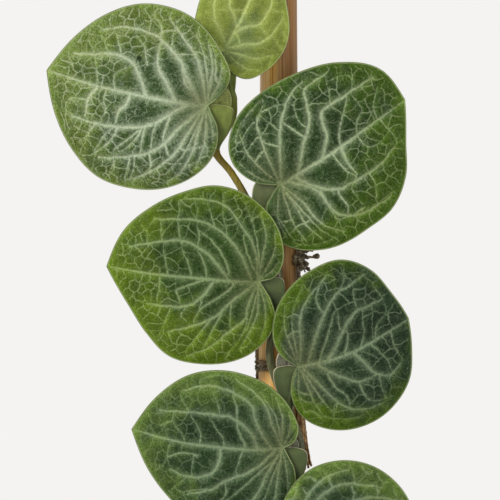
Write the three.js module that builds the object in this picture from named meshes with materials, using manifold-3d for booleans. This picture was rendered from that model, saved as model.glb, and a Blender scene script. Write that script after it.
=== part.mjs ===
// A potted shingle plant: a climbing aroid whose round, silver-netted leaves lie flat
// against a bamboo cane, in a plain moulded nursery pot. Millimetres, +Z up.
// The origin is the middle of the pot's base. The leaves face -Y.
import * as THREE from "three";
import { mergeVertices } from "three/addons/utils/BufferGeometryUtils.js";
import Module from "manifold-3d";

const wasm = await Module();
wasm.setup();

// Driving dimensions
const GAP = 0.3;
const POT_HEIGHT = 112;
const POT_BASE_R = 45;
const POT_TOP_R = 61;
const POT_RIM_R = 64;
const POT_RIM_H = 15;
const POT_WALL = 2;
const POT_SIDES = 32;
const DRAIN_R = 4;
const DRAIN_RING_R = 33;
const DRAIN_COUNT = 6;
const SOIL_TOP = 99;
const SOIL_BUMP = 2.2;
const CANE_TOP = 500;
const CANE_FOOT = 12;
const CANE_FOOT_R = 8.7;
const CANE_TOP_R = 7;
const CANE_RINGS = [62, 225, 388];
const CANE_PITH_R = 2.6;
const STEM_FOOT_R = 2.1;
const STEM_TIP_R = 1.35;
const STEM_SIDES = 6;
const STEM_STEPS = 84;
const ROOT_R = 0.75;
const BLADE_THICK = 0.9;
const WING_THICK = 0.9;
const SINUS_DEPTH = 19;
const LEAN_DEG = 7;
const QUILT = 0.42;
const NODE_SWELL = 0.35;
const JOIN_TOLERANCE = 0.05;

// Colours, roughness and metalness of each material
const FINISH = {
  pot: new THREE.MeshStandardMaterial({ color: 0xb5623c, roughness: 0.6, metalness: 0 }),
  soil: new THREE.MeshStandardMaterial({ color: 0x33251b, roughness: 1, metalness: 0 }),
  cane: new THREE.MeshStandardMaterial({ color: 0xb27f4c, roughness: 0.5, metalness: 0 }),
  stem: new THREE.MeshStandardMaterial({ color: 0x5f6b33, roughness: 0.5, metalness: 0 }),
  leaf: new THREE.MeshStandardMaterial({ color: 0x46682f, roughness: 0.55, metalness: 0 }),
  youngLeaf: new THREE.MeshStandardMaterial({ color: 0x8ea648, roughness: 0.5, metalness: 0 }),
  roots: new THREE.MeshStandardMaterial({ color: 0x4a382c, roughness: 0.9, metalness: 0 }),
};

// Solids and meshes

function solidOf(geometry) {
  const bare = new THREE.BufferGeometry();
  bare.setAttribute("position", geometry.getAttribute("position").clone());
  if (geometry.index) bare.setIndex(geometry.index.clone());
  const merged = mergeVertices(bare, 1e-3);
  const kept = [];
  const index = merged.index.array;
  for (let i = 0; i < index.length; i += 3) {
    const [a, b, c] = [index[i], index[i + 1], index[i + 2]];
    if (a !== b && b !== c && c !== a) kept.push(a, b, c);
  }
  const mesh = new wasm.Mesh({
    numProp: 3,
    vertProperties: new Float32Array(merged.attributes.position.array),
    triVerts: new Uint32Array(kept),
  });
  return new wasm.Manifold(mesh);
}

function geometryOf(solid) {
  const mesh = solid.getMesh();
  const geometry = new THREE.BufferGeometry();
  geometry.setAttribute("position", new THREE.BufferAttribute(mesh.vertProperties, 3));
  geometry.setIndex(new THREE.BufferAttribute(mesh.triVerts, 1));
  return geometry;
}

// One solid out of several that touch, without the slivers of their crossings.
function joined(geometries) {
  const whole = geometries.map(solidOf).reduce((all, next) => all.add(next));
  return geometryOf(whole.asOriginal().simplify(JOIN_TOLERANCE));
}

// Only the largest body of a cut or joined geometry, without the scraps.
function largestBody(geometry) {
  const bodies = solidOf(geometry).decompose();
  return geometryOf(bodies.reduce((best, next) => (next.volume() > best.volume() ? next : best)));
}

function namedMesh(name, geometry, material) {
  const mesh = new THREE.Mesh(geometry, material);
  mesh.name = name;
  return mesh;
}

// A seeded draw of numbers from 0 to 1.
function draws(seed) {
  let state = seed * 2654435761;
  return () => {
    state = (state * 1664525 + 1013904223) % 4294967296;
    return state / 4294967296;
  };
}

// A closed tube along a curve, whose radius is a function of the share of its length.
function tapered(curve, radiusAt, sides, steps) {
  const tube = new THREE.CylinderGeometry(1, 1, 1, sides, steps);
  const frames = curve.computeFrenetFrames(steps, false);
  const position = tube.getAttribute("position");
  const point = new THREE.Vector3();
  for (let i = 0; i < position.count; i++) {
    const share = position.getY(i) + 0.5;
    const step = Math.round(share * steps);
    const radius = radiusAt(step / steps);
    point.copy(curve.getPointAt(step / steps));
    point.addScaledVector(frames.binormals[step], position.getX(i) * radius);
    point.addScaledVector(frames.normals[step], position.getZ(i) * radius);
    position.setXYZ(i, point.x, point.y, point.z);
  }
  return tube;
}

// A thin sheet of points in triangles, made solid: its back is the same sheet, moved along Z.
function thickened(points, triangles, thickness) {
  const count = points.length;
  const position = [];
  for (const p of points) position.push(p.x, p.y, p.z + thickness / 2);
  for (const p of points) position.push(p.x, p.y, p.z - thickness / 2);
  const directed = new Set(triangles.flatMap(([a, b, c]) => [`${a},${b}`, `${b},${c}`, `${c},${a}`]));
  const index = [];
  for (const [a, b, c] of triangles) index.push(a, b, c, c + count, b + count, a + count);
  for (const edge of directed) {
    const [from, to] = edge.split(",").map(Number);
    if (directed.has(`${to},${from}`)) continue;
    index.push(to, from, from + count, to, from + count, to + count);
  }
  const geometry = new THREE.BufferGeometry();
  geometry.setAttribute("position", new THREE.Float32BufferAttribute(position, 3));
  geometry.setIndex(index);
  return geometry;
}

// A sheet under construction, in which points at the same place are one point.
function sheetMaker() {
  const points = [];
  const known = new Map();
  const triangles = [];
  const at = (p) => {
    const key = [p.x, p.y].map((value) => value.toFixed(3)).join(",");
    if (!known.has(key)) {
      known.set(key, points.length);
      points.push(p);
    }
    return known.get(key);
  };
  const face = (a, b, c) => {
    const [i, j, k] = [at(a), at(b), at(c)];
    if (i !== j && j !== k && k !== i) triangles.push([i, j, k]);
  };
  return { points, triangles, face };
}

// The pot: a thin moulded bucket with a stepped rim, a flat base and a ring of drain holes.

function potGeometry() {
  const wallAt = (z) => POT_BASE_R + ((POT_TOP_R - POT_BASE_R) * z) / (POT_HEIGHT - POT_RIM_H);
  const step = POT_HEIGHT - POT_RIM_H;
  const outline = [
    [0, 0],
    [POT_BASE_R - 2, 0],
    [POT_BASE_R, 2],
    [wallAt(step) - 0.5, step],
    [POT_RIM_R - 1, step],
    [POT_RIM_R - 0.5, step + 1],
    [POT_RIM_R + 0.5, POT_HEIGHT - 1.2],
    [POT_RIM_R - 0.2, POT_HEIGHT],
    [POT_RIM_R - POT_WALL - 0.4, POT_HEIGHT],
    [POT_RIM_R - POT_WALL - 1, step + 1.6],
    [wallAt(step) - POT_WALL - 0.5, step - 1],
    [POT_BASE_R - POT_WALL, POT_WALL + 1],
    [0, POT_WALL],
  ];
  const shell = new THREE.LatheGeometry(outline.map(([r, z]) => new THREE.Vector2(r, z)), POT_SIDES);
  shell.rotateX(Math.PI / 2);
  let pot = solidOf(shell);
  for (let i = 0; i < DRAIN_COUNT; i++) {
    const turn = (i * 2 * Math.PI) / DRAIN_COUNT;
    const hole = new THREE.CylinderGeometry(DRAIN_R, DRAIN_R, 12, 8);
    hole.rotateX(Math.PI / 2);
    hole.translate(DRAIN_RING_R * Math.cos(turn), DRAIN_RING_R * Math.sin(turn), 1);
    pot = pot.subtract(solidOf(hole));
  }
  return geometryOf(pot);
}

// The soil: it fills the pot, a hair's breadth clear, with a crumbly crown and two plain holes.

function soilGeometry(stemCurve) {
  const slope = (POT_TOP_R - POT_BASE_R) / (POT_HEIGHT - POT_RIM_H);
  const inner = (z) => POT_BASE_R + slope * z - POT_WALL - 0.6 - GAP;
  const crownRings = 6;
  const foot = POT_WALL + GAP;
  const profile = [[0, foot + 1], [inner(foot) - 1.2, foot + 2], [inner(SOIL_TOP) - 1.2, SOIL_TOP - 3.5]];
  for (let i = 0; i <= crownRings; i++) {
    const share = 1 - i / crownRings;
    profile.push([(inner(SOIL_TOP) - 2) * share, SOIL_TOP]);
  }
  const body = new THREE.LatheGeometry(profile.map(([r, z]) => new THREE.Vector2(r, z)), 26);
  body.rotateX(Math.PI / 2);
  const position = body.getAttribute("position");
  for (let i = 0; i < position.count; i++) {
    const [x, y, z] = [position.getX(i), position.getY(i), position.getZ(i)];
    if (z < SOIL_TOP - 0.1) continue;
    const lump = Math.sin(x * 0.31 + 1) * Math.cos(y * 0.27) + 0.6 * Math.sin(x * 0.83 - y * 0.71);
    position.setZ(i, z + SOIL_BUMP * 0.5 * lump);
  }
  const socketR = CANE_FOOT_R + GAP + 0.2;
  const socket = new THREE.CylinderGeometry(socketR, socketR, 120, 16);
  socket.rotateX(Math.PI / 2);
  socket.translate(0, 0, CANE_FOOT - GAP + 60);
  const stemHole = tapered(stemCurve, () => STEM_FOOT_R * 1.3 + GAP, 8, 60);
  return largestBody(geometryOf(solidOf(body).subtract(solidOf(socket)).subtract(solidOf(stemHole))));
}

// The cane: tapered bamboo with raised rings at its joints and a hollow cut end.

function caneRadius(z) {
  const share = THREE.MathUtils.clamp(z / CANE_TOP, 0, 1);
  return CANE_FOOT_R - (CANE_FOOT_R - CANE_TOP_R) * share ** 2.2;
}

function caneGeometry() {
  const profile = [[0, CANE_FOOT], [CANE_FOOT_R - 0.8, CANE_FOOT], [CANE_FOOT_R, CANE_FOOT + 1]];
  for (const ring of CANE_RINGS) {
    const r = caneRadius(ring);
    profile.push([r - 0.1, ring - 4], [r + 0.45, ring - 1.2], [r - 0.35, ring]);
    profile.push([r + 0.5, ring + 1.5], [r, ring + 5]);
  }
  profile.push([CANE_TOP_R, CANE_TOP - 0.6], [CANE_TOP_R - 0.6, CANE_TOP]);
  profile.push([CANE_PITH_R, CANE_TOP], [CANE_PITH_R - 0.3, CANE_TOP - 7], [0, CANE_TOP - 7]);
  const cane = new THREE.LatheGeometry(profile.map(([r, z]) => new THREE.Vector2(r, z)), 16);
  cane.rotateX(Math.PI / 2);
  return cane;
}

// The leaves. Each stands on a node of the stem, with its blade's base (the sinus) out in front.
// An outline is the reach in mm from the sinus at the angles of OUTLINE_ANGLES from the tip,
// then the reach and the angle where the basal lobe turns back to the sinus.
// left and right are the two halves seen with the tip up, from the front.

const SHAPE = {
  broad: {
    tip: 65.9,
    left: [61.4, 57.3, 52.7, 44.9, 29.2, 13, 8, 127],
    right: [59.8, 54.3, 48.3, 40.3, 23, 12.5, 5, 131],
  },
  blunt: {
    tip: 61,
    left: [61.5, 54.7, 46.4, 39.8, 30.7, 20, 7, 140],
    right: [54, 51.1, 46.7, 39.8, 31.2, 23, 8, 156],
  },
  heart: {
    tip: 61.6,
    left: [53.7, 50, 47.3, 40.8, 28.2, 14, 7, 128],
    right: [58.1, 52.4, 46.9, 42.4, 28.5, 16, 5, 161],
  },
  round: {
    tip: 48.4,
    left: [47.8, 48.5, 46.2, 38.4, 22.5, 8, 6, 123],
    right: [46.3, 45.2, 41.9, 37.6, 26.8, 14, 3.5, 138],
  },
  pointed: {
    tip: 61.3,
    left: [55.4, 50.4, 46.8, 42.2, 30, 11.5, 8, 125],
    right: [54.9, 48.4, 39.8, 30.9, 17, 9.5, 3.5, 148],
  },
  wide: {
    tip: 49.5,
    left: [46.6, 42.5, 36.8, 30, 16, 8, 6, 124],
    right: [48.2, 46, 43, 39, 27, 14, 4, 138],
  },
  young: {
    tip: 38,
    left: [35.2, 30.4, 24.6, 18.9, 12.6, 8, 4, 135],
    right: [35.4, 31, 28, 25, 18.5, 12.5, 5, 140],
  },
};

// The leaves from the lowest up: sinus and stem node as [x, z], the heading of the tip in degrees
// from +X, and the blade's size, the stalk's size (wing) and the depth where they aren't the usual.
const LEAVES = [
  { shape: "round", sinus: [5.5, 116], node: [3.2, 105.5], heading: 24, size: 0.52, wing: 0.55 },
  { shape: "heart", sinus: [1.5, 143], node: [4.8, 129], heading: 170, size: 0.72, wing: 0.8 },
  { shape: "round", sinus: [6, 172], node: [3.2, 156], heading: 14, size: 0.88, wing: 0.9 },
  { shape: "pointed", sinus: [1.5, 203.5], node: [5.2, 187], heading: 177, size: 0.9 },
  { shape: "wide", sinus: [5.6, 236], node: [3.6, 218.5], heading: 10 },
  { shape: "pointed", sinus: [2, 270.8], node: [5, 252], heading: 173.5 },
  { shape: "round", sinus: [7.2, 303.2], node: [3.6, 286], heading: 23.3 },
  { shape: "heart", sinus: [-7.6, 337.2], node: [-0.8, 322.8], heading: 174.7 },
  { shape: "blunt", sinus: [-0.4, 375.6], node: [-8, 359.6], heading: 34 },
  { shape: "broad", sinus: [-28.4, 407.6], node: [-25.6, 390], heading: 168 },
  { shape: "young", sinus: [-22.4, 429.2], node: [-18.4, 411], heading: 64.3, depth: 14.5, wing: 0.6 },
];
const leafName = (leaf) => `leaf_${String(LEAVES.indexOf(leaf) + 1).padStart(2, "0")}`;
const OUTLINE_ANGLES = [0, 15, 30, 45, 60, 90, 120];
const endAngle = (half) => half[half.length - 1];
const VEIN_SHARES = [0.07, 0.2, 0.34, 0.49, 0.64, 0.79, 0.92];
const VEIN_START_SHARE = 0.5;
const BLADE_COLUMNS = [0, 0.11, 0.3, 0.53, 0.76, 0.92, 1];

// The reach of one half's margin at an angle from the tip, through the half's stated reaches.
function reachAt(half, tip, angle) {
  const angles = [...OUTLINE_ANGLES, endAngle(half)];
  const reaches = [tip, ...half.slice(0, -1)];
  let i = 0;
  while (i < angles.length - 2 && angle > angles[i + 1]) i++;
  const slope = (a, b) => (reaches[b] - reaches[a]) / (angles[b] - angles[a]);
  const slopeAt = (k) => {
    if (k === 0) return slope(0, 1) * 1.25;
    if (k === angles.length - 1) return slope(k - 1, k);
    return (slope(k - 1, k) + slope(k, k + 1)) / 2;
  };
  const span = angles[i + 1] - angles[i];
  const x = (angle - angles[i]) / span;
  const [rise, fall] = [slopeAt(i) * span, slopeAt(i + 1) * span];
  const a = 2 * reaches[i] - 2 * reaches[i + 1] + rise + fall;
  const b = -3 * reaches[i] + 3 * reaches[i + 1] - 2 * rise - fall;
  return ((a * x + b) * x + rise) * x + reaches[i];
}

// How far the blade's surface stands out of its own flat plane at (u, v): two arched halves
// beside a sunken midrib, a dip at the sinus and a margin that turns back.
function bladeRise(u, v, tip, reach) {
  const r = Math.hypot(u, v);
  const share = Math.min(1, r / Math.max(reach, 1));
  const arch = 1.5 * (1 - Math.exp(-Math.abs(v) / 5)) * Math.min(1, (tip - u) / 14);
  const turned = 3.4 * share ** 3 * (r / 45);
  const dip = 1.3 * Math.exp(-((r / 7) ** 2));
  return arch - turned - dip;
}

// One row of points, from the midrib to the margin, along the way a side vein runs.
function veinRow(half, tip, size, share) {
  const angle = share * endAngle(half);
  const reach = reachAt(half, tip, angle) * size;
  const radians = THREE.MathUtils.degToRad(angle);
  const start = tip * size * Math.max(0, 1 - share / VEIN_START_SHARE) ** 1.8;
  const margin = new THREE.Vector2(reach * Math.cos(radians), reach * Math.sin(radians));
  const origin = new THREE.Vector2(start, 0);
  const chord = margin.clone().sub(origin);
  const bow = 0.16 * Math.sin(Math.PI * share);
  const middle = origin.clone().addScaledVector(chord, 0.5);
  middle.add(new THREE.Vector2(-chord.y, chord.x).multiplyScalar(bow));
  return new THREE.QuadraticBezierCurve(origin, middle, margin);
}

function bladeGeometry(leaf) {
  const { tip, left, right } = SHAPE[leaf.shape];
  const size = leaf.size ?? 1;
  const sheet = sheetMaker();
  const shares = [0];
  for (const [i, share] of VEIN_SHARES.entries()) {
    if (i > 0) shares.push((share + VEIN_SHARES[i - 1]) / 2);
    shares.push(share);
  }
  shares.push(1);
  for (const [half, side] of [[left, 1], [right, -1]]) {
    const rows = shares.map((share, row) => {
      const vein = veinRow(half, tip, size, share);
      const onVein = row % 2 === 1;
      return BLADE_COLUMNS.map((t) => {
        const p = vein.getPoint(t);
        const angle = Math.min(endAngle(half), THREE.MathUtils.radToDeg(Math.atan2(p.y, p.x)));
        const reach = reachAt(half, tip, angle) * size;
        const inside = row > 0 && row < shares.length - 1;
        const swell = inside ? QUILT * Math.sin(Math.PI * t) * Math.min(1, p.length() / 12) : 0;
        const rise = bladeRise(p.x, p.y, tip * size, reach) + (onVein ? -swell : swell);
        return new THREE.Vector3(p.x, side * p.y, rise);
      });
    });
    for (let k = 0; k < rows.length - 1; k++) {
      for (let j = 0; j < BLADE_COLUMNS.length - 1; j++) {
        const [a, b, c, d] = [rows[k][j], rows[k + 1][j], rows[k + 1][j + 1], rows[k][j + 1]];
        if (side > 0) {
          sheet.face(a, d, b);
          sheet.face(d, c, b);
        } else {
          sheet.face(a, b, d);
          sheet.face(d, b, c);
        }
      }
    }
  }
  return thickened(sheet.points, sheet.triangles, BLADE_THICK);
}

// The winged leaf stalk: a flat ear on each side of a rib, from the node up to the sinus,
// and a smaller second ear behind it, on the stem's side.
const EAR_LENGTHS = [0.04, 0.25, 0.52, 0.75, 0.9, 1, 1.05];
const EAR_WIDTHS = [1.6, 4.6, 7.4, 8.9, 8.9, 6.8, 3.2];

function earSheet(base, along, across, toFront, scale, width, turn) {
  const sheet = sheetMaker();
  const length = along.length();
  const way = along.clone().normalize();
  const columns = [-1, 0, 1];
  const rows = EAR_LENGTHS.map((share, row) =>
    columns.map((c) => {
      const half = EAR_WIDTHS[row] * scale * (c * turn > 0 ? 1 : width);
      return { x: share * length, y: c * half, z: 0.5 * Math.abs(c) * share };
    }),
  );
  for (let k = 0; k < rows.length - 1; k++) {
    for (let j = 0; j < columns.length - 1; j++) {
      const [a, b, c, d] = [rows[k][j], rows[k + 1][j], rows[k + 1][j + 1], rows[k][j + 1]];
      sheet.face(a, b, d);
      sheet.face(d, b, c);
    }
  }
  const plate = thickened(sheet.points, sheet.triangles, WING_THICK);
  plate.applyMatrix4(new THREE.Matrix4().makeBasis(way, across, toFront).setPosition(base));
  return plate;
}

function stalkParts(leaf, node) {
  const scale = leaf.wing ?? 1;
  const sinus = new THREE.Vector3(0, 0, -1.2);
  const along = sinus.clone().sub(node);
  const way = along.clone().normalize();
  const across = new THREE.Vector3(0, 0, 1).cross(way).normalize();
  const toFront = way.clone().cross(across).normalize();
  // The stem's side is the side of the stalk away from the blade's middle.
  const stemSide = across.x > 0 ? -1 : 1;
  const ears = earSheet(node, along, across, toFront, scale, 0.8, stemSide);
  const ribPath = new THREE.CatmullRomCurve3([
    node.clone().addScaledVector(toFront, -0.1),
    node.clone().addScaledVector(along, 0.6).addScaledVector(toFront, -0.35),
    sinus.clone().addScaledVector(toFront, -0.2),
    new THREE.Vector3(4.3, 0.27, -1.47),
  ]);
  const rib = tapered(ribPath, (share) => (1.35 - 0.7 * share) * Math.max(0.75, scale), 5, 6);
  const second = new THREE.CylinderGeometry(1, 1, WING_THICK, 9);
  second.rotateX(Math.PI / 2);
  second.scale(6.2 * scale, 4.6 * scale, 1);
  second.rotateZ(stemSide * 0.35);
  second.translate(0.5 * scale, stemSide * 3.9 * scale, 0);
  const earTop = node.clone().addScaledVector(along, 0.98).addScaledVector(toFront, -0.7);
  second.applyMatrix4(new THREE.Matrix4().makeBasis(way, across, toFront).setPosition(earTop));
  return [ears, rib, second];
}

function leafPiece(leaf) {
  const depth = leaf.depth ?? SINUS_DEPTH;
  const stand = new THREE.Group();
  stand.position.set(leaf.sinus[0], -depth, leaf.sinus[1]);
  const lean = new THREE.Group();
  lean.rotation.x = Math.PI / 2 + THREE.MathUtils.degToRad(LEAN_DEG);
  const mesh = namedMesh(leafName(leaf), new THREE.BufferGeometry(), FINISH.leaf);
  if (leaf.shape === "young") mesh.material = FINISH.youngLeaf;
  mesh.rotation.z = THREE.MathUtils.degToRad(leaf.heading);
  stand.add(lean);
  lean.add(mesh);
  stand.updateMatrixWorld(true);
  const nodeFront = stemDepthAt(leaf.node[1]) + stemRadiusAt(leaf.node[1]) + GAP + 0.9 + WING_THICK / 2;
  const node = mesh.worldToLocal(new THREE.Vector3(leaf.node[0], -nodeFront, leaf.node[1]));
  mesh.geometry = joined([bladeGeometry(leaf), ...stalkParts(leaf, node)]);
  return stand;
}

// The stem: it climbs the cane in a slight zigzag, thickened at each node, and leaves it at the top.
// Points are [x, depth in front of the cane's axis, z].
const STEM_POINTS = [
  [2.6, 11.2, 72], [2.8, 11.2, 98], [3.2, 11.2, 105.5], [4.8, 11.1, 129], [2.2, 11.1, 142], [3.2, 11, 156],
  [6, 11, 171], [5.2, 11, 187], [1.4, 10.9, 203], [3.6, 10.9, 218.5], [7.6, 10.9, 236], [5, 10.8, 252],
  [8.6, 10.7, 271], [3.6, 10.6, 286], [-3.8, 10.5, 308], [-0.8, 10.4, 322.8], [0.4, 10.3, 337],
  [-2.5, 10.2, 349], [-8, 10, 359.6], [-13.6, 9.8, 372], [-19, 9.6, 381], [-25.4, 9.5, 390],
  [-21.6, 9.3, 397], [-18.2, 9.3, 404], [-18.4, 9.3, 411], [-19.6, 9.4, 416],
];
const STEM_SPAN = [STEM_POINTS[0][2], STEM_POINTS.at(-1)[2]];

function stemCurve() {
  return new THREE.CatmullRomCurve3(STEM_POINTS.map(([x, depth, z]) => new THREE.Vector3(x, -depth, z)));
}

function stemDepthAt(z) {
  let i = 0;
  while (i < STEM_POINTS.length - 2 && z > STEM_POINTS[i + 1][2]) i++;
  const [low, high] = [STEM_POINTS[i], STEM_POINTS[i + 1]];
  return low[1] + ((high[1] - low[1]) * (z - low[2])) / (high[2] - low[2]);
}

function stemRadiusAt(z) {
  const share = THREE.MathUtils.clamp((z - STEM_SPAN[0]) / (STEM_SPAN[1] - STEM_SPAN[0]), 0, 1);
  const swellings = LEAVES.map((leaf) => NODE_SWELL * Math.exp(-(((z - leaf.node[1]) / 2.5) ** 2)));
  return STEM_FOOT_R + (STEM_TIP_R - STEM_FOOT_R) * share + swellings.reduce((sum, each) => sum + each);
}

function stemGeometry(curve) {
  return tapered(curve, (share) => stemRadiusAt(curve.getPointAt(share).z), STEM_SIDES, STEM_STEPS);
}

// The rolled youngest leaf, a slim spear that stands beyond the top leaf.
function spearGeometry() {
  const path = new THREE.CatmullRomCurve3([
    new THREE.Vector3(-19.7, -9.4, 416.5),
    new THREE.Vector3(-18, -8.9, 432),
    new THREE.Vector3(-14.6, -9.2, 453),
    new THREE.Vector3(-13, -9.4, 474),
  ]);
  return tapered(path, (share) => 0.9 + 1.5 * Math.sin(Math.PI * Math.min(1, share * 0.96)) ** 0.8, 8, 16);
}

// Aerial roots: bunches of thin brown roots from the stem that grip the cane.
// Each bunch: its height, where its loops end and begin (degrees round the cane, from the front),
// how far its strand reaches up and down,
// how far its lower end leans away from the cane, and whether it ends in a curled tuft.
const ROOT_BUNCHES = [
  { name: "aerial_roots_1", z: 164, sweep: [-104, -18], hang: 9 },
  { name: "aerial_roots_2", z: 226, sweep: [-96, -4], hang: 8 },
  { name: "aerial_roots_3", z: 275, sweep: [84, 58], hang: 14, lean: 3.6 },
  { name: "aerial_roots_4", z: 303.5, sweep: [-112, -24], hang: 8 },
  { name: "aerial_roots_5", z: 346, sweep: [62, 40], hang: 9, tuft: true },
];

function roundCane(degrees, z, clear) {
  const turn = THREE.MathUtils.degToRad(degrees);
  const r = caneRadius(z) + clear;
  return new THREE.Vector3(r * Math.sin(turn), -r * Math.cos(turn), z);
}

function rootBunch(bunch) {
  const [far, near] = bunch.sweep;
  const clear = ROOT_R + GAP + 0.15;
  const pieces = [];
  for (const [offset, wave] of [[-1.1, 0.5], [0.4, -0.6]]) {
    const loop = [0, 0.33, 0.66, 1].map((share, i) => {
      const z = bunch.z + offset + wave * Math.sin(i * 2.1);
      return roundCane(near + (far - near) * share, z, clear + 0.15);
    });
    pieces.push(tapered(new THREE.CatmullRomCurve3(loop), () => ROOT_R, 5, 8));
  }
  const strand = [1, 0.45, 0, -0.5, -1].map((share, i) => {
    const lean = (bunch.lean ?? 0) * ((1 - share) / 2) ** 2;
    const turn = far + 3 * Math.sin(i * 1.7);
    return roundCane(turn, bunch.z + share * bunch.hang, clear + lean + 0.1 * (i % 2));
  });
  const strandR = (share) => ROOT_R * (1.05 - 0.35 * share);
  pieces.push(tapered(new THREE.CatmullRomCurve3(strand), strandR, 5, 9));
  if (bunch.tuft) pieces.push(...tuftParts(bunch));
  return joined(pieces);
}

// The tuft: short crooked roots that stick out to the side, some with a crumb at the end.
function tuftParts(bunch) {
  const draw = draws(5);
  const pieces = [];
  for (let i = 0; i < 6; i++) {
    const start = roundCane(bunch.sweep[0], bunch.z - 4 + 1.4 * i, 1.25);
    const rise = (i - 2.5) + 3 * (draw() - 0.5);
    const reach = 3 + 3.4 * draw();
    const middle = start.clone().add(new THREE.Vector3(reach * 0.5, -0.8 - 1.2 * draw(), rise * 0.2));
    const end = start.clone().add(new THREE.Vector3(reach, -1 - 1.6 * draw(), rise));
    pieces.push(tapered(new THREE.CatmullRomCurve3([start, middle, end]), () => 0.6, 4, 3));
    if (i % 2) continue;
    const crumb = new THREE.IcosahedronGeometry(1.05 + 0.3 * draw(), 0);
    crumb.translate(end.x, end.y, end.z);
    pieces.push(crumb);
  }
  return pieces;
}

// The whole plant

const plant = new THREE.Group();
const curve = stemCurve();
plant.add(namedMesh("pot", potGeometry(), FINISH.pot));
plant.add(namedMesh("soil", soilGeometry(curve), FINISH.soil));
plant.add(namedMesh("cane", caneGeometry(), FINISH.cane));
plant.add(namedMesh("stem", stemGeometry(curve), FINISH.stem));
for (const leaf of LEAVES) plant.add(leafPiece(leaf));
plant.add(namedMesh("rolled_leaf", spearGeometry(), FINISH.youngLeaf));
for (const bunch of ROOT_BUNCHES) plant.add(namedMesh(bunch.name, rootBunch(bunch), FINISH.roots));

export default plant;
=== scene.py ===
# %% [markdown]
# # A potted shingle plant
#
# This lesson dresses a climbing aroid on a bamboo cane. Its round leaves lie like shingles against
# the cane, and a silvery net of veins runs over each one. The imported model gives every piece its
# place and size. Here each piece gets a finer mesh of the same form and a finish of its own.
#
# Sizes are written in millimetres, as on the maker's bench, and become metres only when a mesh is
# made. The origin is the middle of the pot's base, +Z is up and the leaves face -Y.

import math
import random

import bpy
import numpy as np
from mathutils import Matrix, Vector
from mathutils.geometry import delaunay_2d_cdt
from mathutils.kdtree import KDTree


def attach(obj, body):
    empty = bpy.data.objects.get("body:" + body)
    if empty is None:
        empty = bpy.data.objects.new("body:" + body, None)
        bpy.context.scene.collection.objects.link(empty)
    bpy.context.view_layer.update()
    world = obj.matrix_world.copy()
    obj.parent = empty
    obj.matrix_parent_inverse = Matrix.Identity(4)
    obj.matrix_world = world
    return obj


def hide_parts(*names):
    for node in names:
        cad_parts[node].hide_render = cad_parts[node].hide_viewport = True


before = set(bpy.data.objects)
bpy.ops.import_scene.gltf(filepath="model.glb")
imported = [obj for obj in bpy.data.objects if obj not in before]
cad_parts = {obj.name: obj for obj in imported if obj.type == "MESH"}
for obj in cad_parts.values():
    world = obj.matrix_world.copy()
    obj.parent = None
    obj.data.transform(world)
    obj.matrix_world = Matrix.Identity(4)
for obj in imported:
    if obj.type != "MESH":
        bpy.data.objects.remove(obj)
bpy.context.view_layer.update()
MM = 0.001

# %% [markdown]
# ## From points to a piece
#
# Every piece is made the same way: a list of points in millimetres and a list of faces. One short
# helper turns them into a mesh, makes it smooth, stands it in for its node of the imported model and
# lets it ride on the plant. Keeping this in one place means that no piece can be forgotten.

# %% The piece helper
def mesh_object(name, points, faces):
    """A new object in the scene, from points in millimetres."""
    mesh = bpy.data.meshes.new(name)
    mesh.from_pydata((np.asarray(points) * MM).tolist(), [], faces)
    made = bpy.data.objects.new(name, mesh)
    bpy.context.scene.collection.objects.link(made)
    return made


def make_piece(name, points, faces, finishes, node, face_finish=None):
    """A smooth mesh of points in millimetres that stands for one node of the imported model."""
    piece = mesh_object(name, points, faces)
    mesh = piece.data
    for finish in finishes:
        mesh.materials.append(finish)
    if face_finish is not None:
        mesh.polygons.foreach_set("material_index", face_finish)
    mesh.polygons.foreach_set("use_smooth", [True] * len(mesh.polygons))
    mesh.update()
    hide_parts(node)
    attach(piece, "root")
    return piece


def write_marks(piece, name, values):
    """Numbers kept on the piece's points, which its finish reads by name: four to a point, or three."""
    values = np.asarray(values, np.float32)
    kind = "FLOAT_COLOR" if values.shape[1] == 4 else "FLOAT_VECTOR"
    marks = piece.data.attributes.new(name, kind, "POINT")
    marks.data.foreach_set("color" if kind == "FLOAT_COLOR" else "vector", values.ravel())


# %% [markdown]
# ## Tubes
#
# Stem, rolled leaf and roots are all round things that follow a path. A tube could come from a
# curve object with a bevel, but then its thickness and its little irregularities are hard to steer
# ring by ring. So the rings are placed in code: the path is rounded by a smooth curve through its
# corners, and each ring is carried along without twisting.

# %% Paths and tubes
CURVE_POINTS = 40
TIP_BULGE = 0.35
SOME_WAY = (0.31, 0.95, 0.05)


def lengths_along(line):
    """The length run through up to each point of a line."""
    return np.concatenate([[0], np.cumsum(np.linalg.norm(np.diff(line, axis=0), axis=1))])


def points_at(line, lengths, at):
    """The points of a line at some lengths along it."""
    return np.stack([np.interp(at, lengths, column) for column in line.T], 1)


def on_line(line, step, least=2):
    """Points every step mm on a line, and the share of its length at each."""
    lengths = lengths_along(line)
    at = np.linspace(0, lengths[-1], max(least, round(lengths[-1] / step) + 1))
    return points_at(line, lengths, at), at / max(lengths[-1], 1e-9)


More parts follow.
